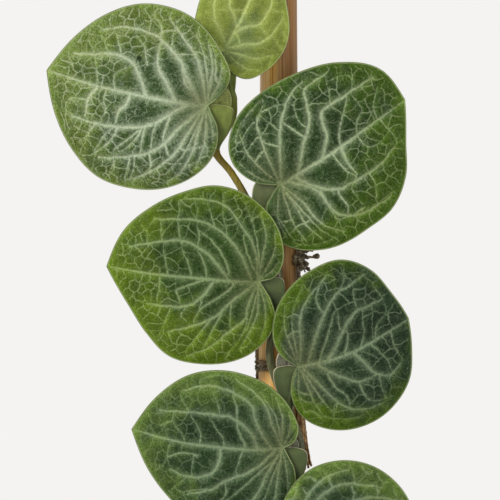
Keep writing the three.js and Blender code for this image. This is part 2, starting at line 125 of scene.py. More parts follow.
def rounded_path(corners, step):
    """Points every step mm on a smooth curve through the corners."""
    corners = np.asarray(corners, float)
    ends = [2 * corners[0] - corners[1], *corners, 2 * corners[-1] - corners[-2]]
    t = np.linspace(0, 1, CURVE_POINTS, endpoint=False)[:, None]
    fine = []
    for a, b, c, d in zip(ends, ends[1:], ends[2:], ends[3:]):
        gaps = [max(1e-6, np.linalg.norm(q - p) ** 0.5) for p, q in ((a, b), (b, c), (c, d))]
        leave = (c - b) + gaps[1] * ((b - a) / gaps[0] - (c - a) / (gaps[0] + gaps[1]))
        arrive = (c - b) + gaps[1] * ((d - c) / gaps[2] - (d - b) / (gaps[1] + gaps[2]))
        from_b = (2 * t**3 - 3 * t**2 + 1) * b + (t**3 - 2 * t**2 + t) * leave
        fine.append(from_b + (3 * t**2 - 2 * t**3) * c + (t**3 - t**2) * arrive)
    return on_line(np.vstack([*fine, corners[-1:]]), step, least=3)[0]


def ring_faces(first, rings, sides, tips):
    """The faces of a closed body: rings of points from the first on, and a tip at either end."""
    last = first + (rings - 1) * sides
    pairs = [(k, (k + 1) % sides) for k in range(sides)]
    faces = [(tips[0], first + after, first + k) for k, after in pairs]
    for low in range(first, last, sides):
        faces += [(low + k, low + after, low + sides + after, low + sides + k) for k, after in pairs]
    faces += [(last + k, last + after, tips[1]) for k, after in pairs]
    return faces


def tube(path, radii, sides, ripple=None):
    """Points and faces of a closed tube. ripple(share of length, turn) scales the radius."""
    path = np.asarray(path, float)
    ahead = np.gradient(path, axis=0)
    ahead /= np.linalg.norm(ahead, axis=1)[:, None]
    aside = np.cross(ahead[0], SOME_WAY)
    turns = np.linspace(0, 2 * math.pi, sides, endpoint=False)
    shares = np.linspace(0, 1, len(path))
    radii = np.broadcast_to(radii, len(path))
    points = []
    for centre, way, radius, share in zip(path, ahead, radii, shares):
        aside = aside - way * (aside @ way)
        aside /= np.linalg.norm(aside)
        r = radius * (np.ones(sides) if ripple is None else ripple(share, turns))
        x, y = r * np.cos(turns), r * np.sin(turns)
        points.append(centre + x[:, None] * aside + y[:, None] * np.cross(way, aside))
    points.append(path[:1] - ahead[0] * radii[0] * TIP_BULGE)
    points.append(path[-1:] + ahead[-1] * radii[-1] * TIP_BULGE)
    end = len(path) * sides
    return np.vstack(points), ring_faces(0, len(path), sides, (end, end + 1))


def circle(count, radius):
    """Points of a circle in a plane."""
    turns = np.linspace(0, 2 * math.pi, count, endpoint=False)
    return np.stack([radius * np.cos(turns), radius * np.sin(turns)], 1)


def gather(shapes):
    """Several (points, faces) as one."""
    points, faces, base = [], [], 0
    for some_points, some_faces in shapes:
        points.append(some_points)
        faces += [tuple(base + i for i in face) for face in some_faces]
        base += len(some_points)
    return np.vstack(points), faces


# %% [markdown]
# ## Finishes
#
# A finish is a small tree of shader nodes. The same few moves return in all of them: read a mark
# from the piece's points, draw grain with a noise, let a ramp turn a number into a colour, mix two
# colours, and raise a fine bump. A little bench class keeps these moves to one line each.

# %% The finish bench
class Bench:
    """A new material and short ways to add nodes to it."""

    def __init__(self, name, roughness, specular):
        self.material = bpy.data.materials.new(name)
        self.material.use_nodes = True
        self.nodes = self.material.node_tree.nodes
        self.links = self.material.node_tree.links
        self.shader = self.nodes["Principled BSDF"]
        self.put(self.shader.inputs["Roughness"], roughness)
        self.put(self.shader.inputs["Specular IOR Level"], specular)

    def node(self, kind, settings=None, **inputs):
        made = self.nodes.new(kind)
        for key, value in (settings or {}).items():
            setattr(made, key, value)
        for key, value in inputs.items():
            self.put(made.inputs[key], value)
        return made

    def put(self, socket, value):
        """A value, or another node's output, for a socket."""
        if isinstance(value, bpy.types.NodeSocket):
            self.links.new(value, socket)
        elif socket.type == "RGBA":
            socket.default_value = (*value, 1.0)
        else:
            socket.default_value = value

    def place(self):
        return self.node("ShaderNodeTexCoord").outputs["Object"]

    def mark(self, name):
        return self.node("ShaderNodeAttribute", {"attribute_name": name}).outputs

    def parts(self, colour):
        """The three numbers that a colour holds."""
        return self.node("ShaderNodeSeparateColor", Color=colour).outputs

    def axes(self, place):
        """The three numbers that a place holds."""
        return self.node("ShaderNodeSeparateXYZ", Vector=place).outputs

    def noise(self, place, scale, detail=2.0, roughness=0.5, output="Fac"):
        made = self.node("ShaderNodeTexNoise", Vector=place, Scale=scale, Detail=detail, Roughness=roughness)
        return made.outputs[output]

    def fibres(self, across, along, roughness=0.5):
        """A noise that is fine across the plant's height and long along it."""
        drawn = self.node("ShaderNodeMapping", Vector=self.place(), Scale=(across, across, along))
        return self.noise(drawn.outputs["Vector"], 1.0, 3.0, roughness)

    def shaken(self, place, scale, play):
        """The place moved about in the blade's plane by a noise, so that cells there bend."""
        made = self.node("ShaderNodeVectorMath", {"operation": "MULTIPLY_ADD"})
        terms = (self.noise(place, scale, output="Color"), (play, play, 0.0), place)
        for socket, value in zip(made.inputs, terms):
            self.put(socket, value)
        return made.outputs["Vector"]

    def gap_to(self, place, spot=(0.0, 0.0)):
        """The distance in the blade's plane from a spot."""
        moved = self.node("ShaderNodeMapping", Vector=place, Scale=(1.0, 1.0, 0.0),
                          Location=(-spot[0], -spot[1], 0.0)).outputs["Vector"]
        return self.node("ShaderNodeVectorMath", {"operation": "LENGTH"}, Vector=moved).outputs["Value"]

    def cells(self, place, scale, feature="F1"):
        made = self.node("ShaderNodeTexVoronoi", {"feature": feature}, Vector=place, Scale=scale)
        return made.outputs["Distance"]

    def maths(self, kind, *values):
        made = self.node("ShaderNodeMath", {"operation": kind})
        for socket, value in zip(made.inputs, values):
            self.put(socket, value)
        return made.outputs[0]

    def span(self, value, low, high, start=0.0, end=1.0):
        """value's stretch from low to high, as start to end, with soft ends."""
        made = self.node("ShaderNodeMapRange", {"interpolation_type": "SMOOTHSTEP"}, Value=value)
        for socket, number in zip(("From Min", "From Max", "To Min", "To Max"), (low, high, start, end)):
            self.put(made.inputs[socket], number)
        return made.outputs["Result"]

    def mix(self, share, first, second, kind="MIX"):
        made = self.node("ShaderNodeMix", {"data_type": "RGBA", "blend_type": kind})
        for socket, value in (("Factor", share), (6, first), (7, second)):
            self.put(made.inputs[socket], value)
        return made.outputs[2]

    def times(self, colour, share):
        """The colour made darker or lighter by a number."""
        grey = self.node("ShaderNodeCombineColor", Red=share, Green=share, Blue=share).outputs[0]
        return self.mix(1.0, colour, grey, "MULTIPLY")

    def ramp(self, value, *stops):
        """A colour for each value, between stops of a value and a colour."""
        made = self.node("ShaderNodeValToRGB", Fac=value)
        band = made.color_ramp.elements
        while len(band) < len(stops):
            band.new(0.5)
        for element, (at, colour) in zip(band, stops):
            element.position = at
            element.color = (*colour, 1.0)
        return made.outputs["Color"]

    def finish(self, colour, height=None, depth=0.0, roughness=None):
        """The material with its colour and, if wanted, a bump of some depth in millimetres."""
        self.put(self.shader.inputs["Base Color"], colour)
        if roughness is not None:
            self.put(self.shader.inputs["Roughness"], roughness)
        if height is not None:
            bump = self.node("ShaderNodeBump", Height=height, Distance=depth * MM, Strength=1.0)
            self.put(self.shader.inputs["Normal"], bump.outputs["Normal"])
        return self.material


def shaded(colour, share):
    """A plain colour made darker or lighter."""
    return tuple(share * c for c in colour)


# %% [markdown]
# ## The leaf's outline
#
# A shingle plant's blade is a broad heart. Its stalk joins it in a notch, the sinus, and two round
# lobes lie behind that point. Seen from the sinus, the margin is a smooth reach at every angle from
# the tip. The reach at the tip, at six angles and at the lobe's end says all there is to say about
# one half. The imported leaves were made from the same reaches. Here a ripple of a tenth or two of a
# millimetre keeps the margin from looking cut with scissors.

# %% Outlines and leaves
# Reaches in mm: the tip, then for each half those at OUTLINE_ANGLES from the tip and the lobe's
# end, and last the lobe end's angle.
OUTLINE_ANGLES = (15, 30, 45, 60, 90, 120)
SHAPE = {
    "broad": dict(tip=65.9, left=(61.4, 57.3, 52.7, 44.9, 29.2, 13, 8, 127),
                  right=(59.8, 54.3, 48.3, 40.3, 23, 12.5, 5, 131)),
    "blunt": dict(tip=61, left=(61.5, 54.7, 46.4, 39.8, 30.7, 20, 7, 140),
                  right=(54, 51.1, 46.7, 39.8, 31.2, 23, 8, 156)),
    "heart": dict(tip=61.6, left=(53.7, 50, 47.3, 40.8, 28.2, 14, 7, 128),
                  right=(58.1, 52.4, 46.9, 42.4, 28.5, 16, 5, 161)),
    "round": dict(tip=48.4, left=(47.8, 48.5, 46.2, 38.4, 22.5, 8, 6, 123),
                  right=(46.3, 45.2, 41.9, 37.6, 26.8, 14, 3.5, 138)),
    "pointed": dict(tip=61.3, left=(55.4, 50.4, 46.8, 42.2, 30, 11.5, 8, 125),
                    right=(54.9, 48.4, 39.8, 30.9, 17, 9.5, 3.5, 148)),
    "wide": dict(tip=49.5, left=(46.6, 42.5, 36.8, 30, 16, 8, 6, 124),
                 right=(48.2, 46, 43, 39, 27, 14, 4, 138)),
    "young": dict(tip=38, left=(35.2, 30.4, 24.6, 18.9, 12.6, 8, 4, 135),
                  right=(35.4, 31, 28, 25, 18.5, 12.5, 5, 140)),
}
# From the soil up: the blade's shape, its sinus and its node in the plane of the leaves (x, z), the
# way from the tip in degrees, and where they differ the size of the blade, of the stalk's ears and
# of the second ear behind them, the stalk's finish, and the sinus's distance before the cane's axis.
LEAVES = [
    dict(shape="round", sinus=(5.5, 116), node=(3.2, 105.5), heading=24, size=0.52, wing=0.55),
    dict(shape="heart", sinus=(1.5, 143), node=(4.8, 129), heading=170, size=0.72, wing=0.8),
    dict(shape="round", sinus=(6, 172), node=(3.2, 156), heading=14, size=0.88, wing=0.9),
    dict(shape="pointed", sinus=(1.5, 203.5), node=(5.2, 187), heading=177, size=0.9),
    dict(shape="wide", sinus=(5.6, 236), node=(3.6, 218.5), heading=10),
    dict(shape="pointed", sinus=(2, 270.8), node=(5, 252), heading=173.5, behind=0.45),
    dict(shape="round", sinus=(7.2, 303.2), node=(3.6, 286), heading=23.3),
    dict(shape="heart", sinus=(-7.6, 337.2), node=(-0.8, 322.8), heading=174.7),
    dict(shape="blunt", sinus=(-0.4, 375.6), node=(-8, 359.6), heading=34, stalk="pale"),
    dict(shape="broad", sinus=(-28.4, 407.6), node=(-25.6, 390), heading=168, wing=1.12, stalk="young"),
    dict(shape="young", sinus=(-22.4, 429.2), node=(-18.4, 411), heading=64.3, depth=14.5, wing=0.6,
         stalk="young"),
]
SINUS_DEPTH = 19
LEAN_DEGREES = 7
# How much steeper the margin leaves the tip than a straight line to the first stated reach.
TIP_SLOPE = 1.25
DEGREES_IN_RADIAN = 57.3
RIPPLE_WAVES, RIPPLE_DEPTHS = (3, 5, 8, 13), (0.06, 0.16)
HALF_MARGIN = 500


def reach_of(half, tip, degrees):
    """The reach in mm of one half's margin at angles from the tip, through its stated reaches."""
    knots = np.array([0, *OUTLINE_ANGLES, half[-1]], float)
    reaches = np.array([tip, *half[:-1]], float)
    slopes = np.diff(reaches) / np.diff(knots)
    leaving = np.concatenate([slopes[:1] * TIP_SLOPE, (slopes[:-1] + slopes[1:]) / 2, slopes[-1:]])
    i = np.clip(np.searchsorted(knots, degrees, side="right") - 1, 0, len(slopes) - 1)
    span = np.diff(knots)[i]
    x = np.clip((degrees - knots[i]) / span, 0, 1)
    rise, fall = leaving[i] * span, leaving[i + 1] * span
    a = 2 * reaches[i] - 2 * reaches[i + 1] + rise + fall
    b = -3 * reaches[i] + 3 * reaches[i + 1] - 2 * rise - fall
    return ((a * x + b) * x + rise) * x + reaches[i]


def polar(degrees, reach):
    turn = np.radians(degrees)
    return np.stack([reach * np.cos(turn), reach * np.sin(turn)], -1)


class Outline:
    """One blade's margin in its own plane: u runs to the tip, v to the left half."""

    def __init__(self, shape, size, seed):
        self.name, self.shape, self.size = shape, SHAPE[shape], size
        self.tip = self.shape["tip"] * size
        draw = random.Random(seed)
        self.ripples = []
        for waves in RIPPLE_WAVES:
            phase, depth = draw.uniform(0, 6.3), draw.uniform(*RIPPLE_DEPTHS)
            self.ripples.append((waves, phase, depth / waves**0.4))

    def reach(self, u, v):
        """The margin's reach in the direction of each point (u, v)."""
        angle = np.degrees(np.arctan2(np.abs(v), u))
        tip = self.shape["tip"]
        left = reach_of(self.shape["left"], tip, np.minimum(angle, self.end(1)))
        right = reach_of(self.shape["right"], tip, np.minimum(angle, self.end(-1)))
        turn = np.radians(angle) * np.sign(v)
        ripple = sum(depth * np.sin(waves * turn + phase) for waves, phase, depth in self.ripples)
        # The ripple fades out towards the tip, so that both halves meet there.
        ripple = ripple * np.sin(np.minimum(angle, 90) / DEGREES_IN_RADIAN)
        return (np.where(v >= 0, left, right) + ripple) * self.size

    def end(self, side):
        """The angle from the tip at which the lobe ends, left (above 0) or right."""
        return self.shape["left" if side > 0 else "right"][-1]

    def ring(self, step):
        """The margin from the left lobe round the tip to the right lobe, and back by the sinus."""
        left, right = np.linspace(self.end(1), 0, HALF_MARGIN), -np.linspace(0, self.end(-1), HALF_MARGIN)
        far = polar(np.concatenate([left, right[1:]]), 1.0)
        line = far * self.reach(far[:, 0], far[:, 1])[:, None]
        line = np.vstack([line, [[0.0, 0.0]], line[:1]])
        lengths = lengths_along(line)
        tip = lengths[HALF_MARGIN - 1]
        at = np.linspace(0, lengths[-1], round(lengths[-1] / step) + 1)[:-1]
        return points_at(line, lengths, np.sort(np.append(at[np.abs(at - tip) > step * 0.5], tip)))

    def place(self, points):
        """The share of the reach and the angle from the tip in degrees, for each point."""
        u, v = points.T
        return np.hypot(u, v) / np.maximum(self.reach(u, v), 0.1), np.degrees(np.arctan2(np.abs(v), u))

    def holds(self, points, edge, lobes=0.985):
        """Whether each point lies inside a share of the reach and of the lobes' end angles."""
        share, angle = self.place(points)
        return (share < edge) & (angle < np.where(points[:, 1] >= 0, self.end(1), self.end(-1)) * lobes)


print("leaves:", len(LEAVES), "outlines:", len(SHAPE))

# %% [markdown]
# ## The net of veins
#
# What makes this plant is its venation. A pale midrib runs from the sinus to the tip. Side veins
# fan out from the sinus and leave the midrib low down, then bend forward and loop into each other
# near the margin. Between them run rungs that part the blade into large cells, long ones near the
# sinus, and thin veins part the outer cells again into small many-sided ones.
#
# An image or a plain cell texture can't follow that order, so the net is made in three ranks. The
# main veins are curves through a few waypoints, each an angle from the tip and a share of the
# margin's reach. For the five shapes whose rungs the photograph shows, these are waypoints too,
# and their ends are drawn out to the veins that they lie near. On the other two shapes
# seeds are sown between the main veins, and the borders between neighbouring seeds (worked out
# from the triangles that join the seeds) become the rungs, cut or stretched so that each ends on
# the vein it meets. The thin rank is made in that way on every leaf.

# %% The veins' waypoints
# For each shape: how far the midrib bows and how far apart the seeds of the small cells lie, in mm,
# and the side veins of both halves. A side vein starts at a percentage of the midrib and passes its
# waypoints. A waypoint is an angle from the tip in degrees and a percentage of the reach.
VEINS = {
    "broad": dict(bow=1.8, cells=3.6, left=[
        (68, (8.5, 76), (17, 81)), (48, (10, 52), (15, 58), (22, 63)),
        (12, (20, 22), (27, 33), (30, 43), (26.5, 57), (20.5, 76), (16.5, 90)),
        (0, (49, 31), (52, 46), (50, 60), (43, 74), (37, 88)), (0, (65, 35), (67, 55), (62, 76), (56, 90)),
        (0, (80, 34), (83, 58), (79, 83), (74, 92)), (0, (96, 42), (95, 65), (90, 88)),
        (0, (112, 45), (110, 78)),
    ], right=[
        (38, (11.5, 49), (18, 60), (16.5, 73), (12, 83), (9, 93)),
        (20, (19, 35), (26.5, 46), (37, 58), (42, 64)),
        (5, (40, 28), (46, 43), (45, 55), (41, 70), (31, 85), (24, 91)),
        (0, (65, 33), (64, 54), (58.5, 69), (54, 88)), (0, (83, 40), (84, 62), (78, 86)),
        (0, (103, 45), (101, 68), (95, 88)),
    ]),
    "blunt": dict(bow=-0.9, cells=4.1, left=[
        (33, (12.5, 45), (21.5, 52), (25.5, 60), (20, 75), (15, 93)),
        (15, (25.5, 34), (30, 52), (38, 70), (41, 82), (34, 91)),
        (2, (54, 40), (54.5, 54), (52.5, 67), (48.5, 83), (43, 90)),
        (0, (77, 38), (76, 59), (75, 75), (67, 86)), (0, (101, 44), (99, 65), (93, 85)),
        (0, (123, 40), (121, 62), (115, 85)),
    ], right=[
        (48, (15, 54), (25, 61)), (12, (28, 22), (37, 38), (36, 50), (28, 64), (22, 80), (15, 91)),
        (6, (40, 31), (52, 46), (59, 65), (54, 80), (46, 86), (40, 93)),
        (0, (68, 33), (74, 53), (74, 70), (69, 87)), (0, (84, 36), (88, 60), (84, 86)),
        (0, (101, 38), (102, 58), (97, 84)), (0, (125, 40), (122, 65), (114, 85)),
    ]),
    "heart": dict(bow=0.9, cells=3.8, left=[
        (30, (13, 38.5), (20, 47), (23, 60), (20, 74), (16.5, 87)),
        (2, (39, 30), (42.5, 42), (41.5, 53), (37.5, 68), (34, 86)),
        (0, (68, 30), (73, 44), (63, 60), (57, 80), (51, 93)), (0, (90, 42), (84, 62), (78, 85)),
        (0, (106, 45), (102, 70), (96, 88)), (0, (119, 50), (116, 80)),
    ], right=[
        (20, (22, 40), (24.5, 52), (23, 64), (16, 76), (10, 91)),
        (5, (50, 34), (47.5, 55), (40.5, 71), (33, 80), (25, 91)),
        (0, (75, 40), (66.5, 60), (61, 79), (52, 87), (43, 94)), (0, (90, 41), (92, 68), (85, 88)),
        (0, (110, 45), (108, 72), (101, 90)), (0, (130, 50), (127, 80)),
    ]),
    "round": dict(bow=-2.9, cells=4.4, left=[
        (25, (6.7, 37), (15.5, 48.5), (20.5, 66), (18, 79), (16, 90)),
        (8, (38, 32), (40.5, 50), (39, 70), (35, 80), (31, 94)),
        (2, (60, 26), (63.5, 53), (60, 68), (51, 84)), (0, (84, 42), (84, 66), (78, 88)),
        (0, (103, 50), (100, 80)),
    ], right=[
        (47, (18, 57), (27.5, 69), (28, 82), (21, 90)), (15, (30, 28), (36, 44.5), (36, 58), (28, 71)),
        (3, (62, 37), (64, 52), (62, 70), (55, 82), (46, 90)), (0, (85, 35), (88, 55), (84, 80)),
        (0, (110, 42), (109, 65), (103, 85)), (0, (127, 50), (124, 80)),
    ]),
    "pointed": dict(bow=2.6, cells=4.2, left=[
        (42, (10, 45), (18, 49), (25.5, 60), (23, 76), (17.5, 85)),
        (5, (40, 27), (39, 40), (35, 55), (36, 68), (32, 86)), (0, (62, 33), (66, 50), (62, 70), (55, 88)),
        (0, (84, 40), (85, 62), (79, 85)), (0, (103, 45), (100, 78)),
    ], right=[
        (17, (19, 28), (24, 48), (20, 59), (14.5, 73), (10.5, 92)),
        (8, (32, 27), (41, 42), (47, 55), (41, 73), (33, 85), (24, 90)),
        (0, (57, 36), (60, 58), (56, 76), (48, 90)), (0, (78, 40), (80, 62), (74, 86)),
        (0, (100, 45), (98, 72), (91, 88)), (0, (124, 50), (121, 80)),
    ]),
    "wide": dict(bow=-0.6, cells=4.2, left=[
        (25, (14, 42), (20, 60), (15, 78), (9, 90)), (5, (48, 38), (45, 58), (36, 72), (28, 78), (19, 88)),
        (0, (64, 40), (60, 62), (51, 79), (40, 90)), (0, (84, 42), (82, 68), (75, 88)),
        (0, (103, 50), (100, 78)),
    ], right=[
        (35, (14, 46), (24, 60), (22, 78), (15, 90)), (10, (32, 30), (39, 50), (38, 68), (30, 86)),
        (0, (60, 35), (64, 55), (60, 75), (52, 90)), (0, (85, 38), (87, 60), (82, 84)),
        (0, (108, 42), (107, 66), (100, 86)),
    ]),
    "young": dict(bow=-0.6, cells=4.2, left=[
        (30, (10, 42), (19, 58), (15, 76), (9, 90)), (8, (36, 35), (40, 55), (34, 75), (26, 90)),
        (0, (66, 38), (68, 60), (61, 84)), (0, (92, 42), (91, 66), (84, 86)),
    ], right=[
        (22, (16, 40), (26, 55), (22, 74), (14, 90)), (4, (44, 34), (50, 54), (44, 74), (35, 90)),
        (0, (72, 38), (75, 60), (68, 84)), (0, (100, 42), (99, 66), (92, 86)),
    ]),
}
# The second rank of the shapes whose rungs the photograph shows: waypoints as above, with the
# right half's angles below 0.
RUNGS = {
    "heart": [
        [(-1, 61), (-13, 69), (-17.5, 73)], [(0, 45), (-11, 51), (-17, 58), (-21.5, 63)],
        [(0, 35), (-16, 42), (-22, 50)], [(-10, 22), (-27, 31), (-33.5, 42), (-35.5, 55), (-35, 64)],
        [(-21.5, 63), (-27, 71), (-31.5, 80)], [(-17.5, 74), (-24, 83), (-28, 89)],
        [(-14.5, 82), (-19, 88), (-20.5, 94)],
        [(-24, 53), (-31, 58), (-35, 64), (-39.5, 73), (-44, 82), (-47, 93)],
        [(-31.5, 80), (-36.5, 86), (-39.5, 94)], [(-45.5, 62), (-49, 75), (-52, 86), (-54, 94)],
        [(-50.5, 52), (-55, 66), (-58, 78), (-62, 91)], [(-60, 8), (-63, 42), (-66, 52), (-67.5, 62)],
        [(-80, 8), (-80, 50), (-77, 70), (-74, 90)], [(1, 66), (7, 70), (13, 76), (17.5, 81)],
        [(3, 38), (6, 46), (9, 54), (11.5, 61), (17, 62), (21, 64)],
        [(12, 20), (25, 33), (28, 45), (30, 53), (34, 60), (38, 65.5)], [(23, 48), (29.5, 53)],
        [(21.5, 72), (26, 79), (30, 85), (33, 93)], [(24, 62), (28, 68), (33, 68), (37, 69)],
        [(42, 50), (44.5, 62), (47, 75), (48.5, 90)], [(44, 42), (50, 58), (53, 72), (55, 82)],
        [(42, 30), (50, 37), (57, 46), (61.5, 54)], [(76, 46), (77, 60), (74, 76), (69, 90)],
        [(78, 8), (80, 50), (79, 62)],
    ],
    "blunt": [
        [(1, 49), (7, 52), (13, 60), (16, 67), (18.5, 74)], [(0, 62), (6, 67), (8.5, 73), (16.5, 76)],
        [(0, 78), (5.5, 80), (8.5, 85), (11, 91)], [(24.5, 68), (27.5, 75.5), (31, 84), (34, 92)],
        [(19, 81), (21, 86), (24, 90), (27.5, 88.5), (31, 85)],
        [(33.5, 50), (38.5, 55), (43.5, 64.5), (46, 72)], [(32.5, 42), (42, 49), (50.5, 58), (54, 65)],
        [(56.5, 55), (64, 66), (70, 77)], [(58, 40), (71.5, 49), (76.5, 59)],
        [(-2.5, 63), (-8, 67), (-11.5, 73), (-10.5, 81), (-8, 86)],
        [(-0.5, 80), (-4.5, 83.5), (-8.5, 88), (-14, 92.5)], [(-1, 41), (-10, 46), (-22, 54), (-26, 60)],
        [(-27, 61), (-35, 59), (-43.5, 68.5), (-48, 78)], [(-27.5, 72), (-33, 77), (-39.5, 81), (-44, 86)],
        [(-35, 33), (-49, 42), (-56.5, 53.5), (-62.5, 66)], [(-36, 47), (-44, 54), (-50, 65), (-57, 73)],
        [(-48, 78), (-57, 76), (-63.5, 69)], [(-37.5, 93), (-43.5, 86), (-48, 79)],
        [(-70, 8), (-80, 52), (-80, 70), (-77, 88)], [(79, 62), (88, 63), (95, 65)],
        [(76, 78), (83.5, 79), (92, 79), (97, 81)], [(74, 78), (71.5, 82), (65, 81), (58, 79), (53, 77)],
        [(100, 88), (95, 90), (89, 91), (81, 91), (74, 92), (66, 93)], [(80, 45), (90, 46), (100, 48)],
        [(-83, 56), (-97, 61), (-105, 68)], [(-84, 71), (-91, 77), (-98, 82)],
        [(-76, 88), (-84, 90), (-92, 91), (-101, 91), (-109, 90)], [(-122, 60), (-113, 72), (-108, 88)],
        [(-102, 52), (-112, 57), (-122, 62)],
    ],
    "round": [
        [(-6, 55), (4, 62), (12.5, 67), (19, 73)], [(-3, 70), (4.5, 74), (8, 86), (12, 90)],
        [(18.5, 48), (31.5, 57), (40, 64)], [(-5.5, 42), (5, 47.5), (14, 51)],
        [(-3, 20), (20.5, 33), (28.5, 44), (33, 56)], [(43.5, 53), (51.5, 66), (52, 78), (49, 89)],
        [(37.5, 74), (39.5, 85), (43.5, 93)], [(22, 70), (29, 75), (33.5, 83)],
        [(15.5, 91), (21, 91.5), (28, 93), (33, 91)], [(-5.5, 65), (-14, 73), (-19.5, 79), (-26, 83)],
        [(-2.5, 83), (-11.5, 85), (-19.5, 91)], [(-36.5, 57.5), (-46, 71.5), (-47, 81), (-41, 92)],
        [(-28, 72), (-34, 76), (-39.5, 83), (-43, 88)], [(-36, 28.5), (-50.5, 42), (-54, 59), (-61, 71.5)],
        [(-67, 60), (-77, 78), (-79, 90)], [(66, 8), (74, 56), (70, 74), (64, 88)],
        [(-68, 8), (-76, 54), (-74, 70)], [(65, 57), (70, 65), (76, 70), (80, 75)],
        [(64, 40), (73, 46), (84, 52)], [(85, 70), (93, 74), (101, 80)],
        [(-109, 65), (-103, 62), (-93, 58), (-88, 56)], [(-88, 44), (-96, 46), (-108, 50)],
        [(-76, 54), (-82, 56), (-88, 60)],
        [(-104, 85), (-95, 74), (-89, 78), (-78, 80), (-69, 84), (-60, 86)],
        [(-64, 58), (-70, 66), (-76, 70)],
    ],
    "pointed": [
        [(-2, 27), (-15, 36), (-26, 45), (-33, 52), (-38, 63), (-41, 75)], [(-1, 40), (-10, 50), (-17, 61)],
        [(-0.5, 55), (-6, 59), (-11, 66.5), (-13.5, 72)], [(-15, 74), (-18, 82), (-22.5, 92)],
        [(-24, 59), (-30, 71), (-33, 82)], [(-12.5, 83), (-7.5, 79), (-3.6, 71.5), (0.5, 66)],
        [(-7.5, 79), (-6, 82), (-4, 85)], [(-33, 92), (-39, 94), (-44.5, 93), (-45, 84), (-42, 75)],
        [(-60, 8), (-68, 30), (-68, 53), (-63, 69), (-60, 80)],
        [(2, 74.5), (6.5, 79), (10.5, 82.5), (14.5, 88.5), (14, 94)],
        [(10.5, 82), (9.5, 74), (9, 67), (11.5, 61)], [(11, 64), (14.5, 66.5), (19, 70), (23, 74)],
        [(23, 78), (25.5, 87), (27, 94)], [(35, 70), (31.5, 80), (29.5, 90)],
        [(5, 27), (14.5, 31), (27, 39), (33, 43)], [(36, 56), (44, 62), (46, 74), (43, 88)],
        [(60, 8), (50, 34), (50, 52), (48, 70)], [(75, 8), (74, 36), (75, 58), (70, 80)],
    ],
    "broad": [
        [(1.5, 58), (-5.5, 62), (-10, 61), (-14, 59)], [(0, 69), (-6, 74), (-12.5, 83), (-17, 92)],
        [(-18.5, 68), (-24.5, 79), (-27.5, 88)], [(-16, 76), (-19.5, 84), (-23, 93)],
        [(-23.5, 53), (-31, 65), (-32.5, 76)], [(-42, 65), (-47.5, 79), (-46.5, 90)],
        [(-46, 58), (-52, 70), (-58, 87)], [(-30, 20), (-38, 30), (-46, 42)],
        [(-96, 50), (-88, 73), (-82, 88)], [(1, 62), (8, 66), (15.5, 67), (20, 73)],
        [(9, 78), (9.5, 88), (13, 92), (17, 88)], [(30.5, 49), (37, 59), (39.5, 73)],
        [(26.5, 65), (32.5, 75), (34, 86)], [(21, 77), (26, 85), (28, 93)], [(50, 60), (59, 74), (57, 88)],
        [(45, 71), (50.5, 82), (53, 91)], [(68, 8), (75, 58), (71, 82)], [(-73, 8), (-74, 60), (-69, 84)],
        [(31.4, 51), (35, 63), (37.5, 75), (40, 79)], [(24.5, 65), (27.7, 74), (32.6, 84), (35, 90)],
        [(20, 79), (25.5, 85), (28.4, 92)], [(27.3, 43), (36, 51.5), (45, 61.5), (48, 66)],
        [(28, 28), (41, 36.5), (52, 49)], [(27.5, 36), (39.6, 46), (50, 57.5)],
        [(54, 48), (61, 56), (67.5, 61)], [(49.5, 60), (57.5, 71), (62.7, 88)],
        [(47, 69), (52.3, 80), (56, 92)], [(40, 79), (44, 84), (46, 90)], [(67, 50), (74, 53), (82, 53)],
        [(64, 66), (72, 70), (80.5, 72)], [(83, 55), (90, 58), (96, 60)], [(81, 75), (87, 78), (92, 80)],
        [(-62, 58), (-70, 62), (-78, 64)], [(-83, 50), (-92, 55), (-100, 58)],
        [(-45, 50), (-54, 52), (-62, 54)], [(-41, 70), (-49, 74), (-57, 76)],
    ],
}

# %% Veins of the first two ranks
MIDRIB_END, MIDRIB_POINTS = 0.985, 90
# Half widths in mm where the midrib and a side vein start.
MIDRIB_HALF_WIDTH, VEIN_HALF_WIDTH = 0.98, 0.84
# A vein of the lobes is thinner: the first waypoint's angle, and the share of the width.
LOBE_ANGLES, LOBE_WIDTHS = (35, 120), (1.0, 0.62)
# The half widths of the second and of the thin rank, near the sinus and at the margin.
RANK_WIDTHS = ((0.49, 0.28), (0.18, 0.16))
WIDTH_SHARES = (0.3, 0.95)
VEIN_STEP = 0.4
FIRST_START = 0.015
# A rung's end is drawn out to the nearest vein if the gap in mm lies between these two.
JOINED_GAP, JOIN_GAP = 0.2, 3.4


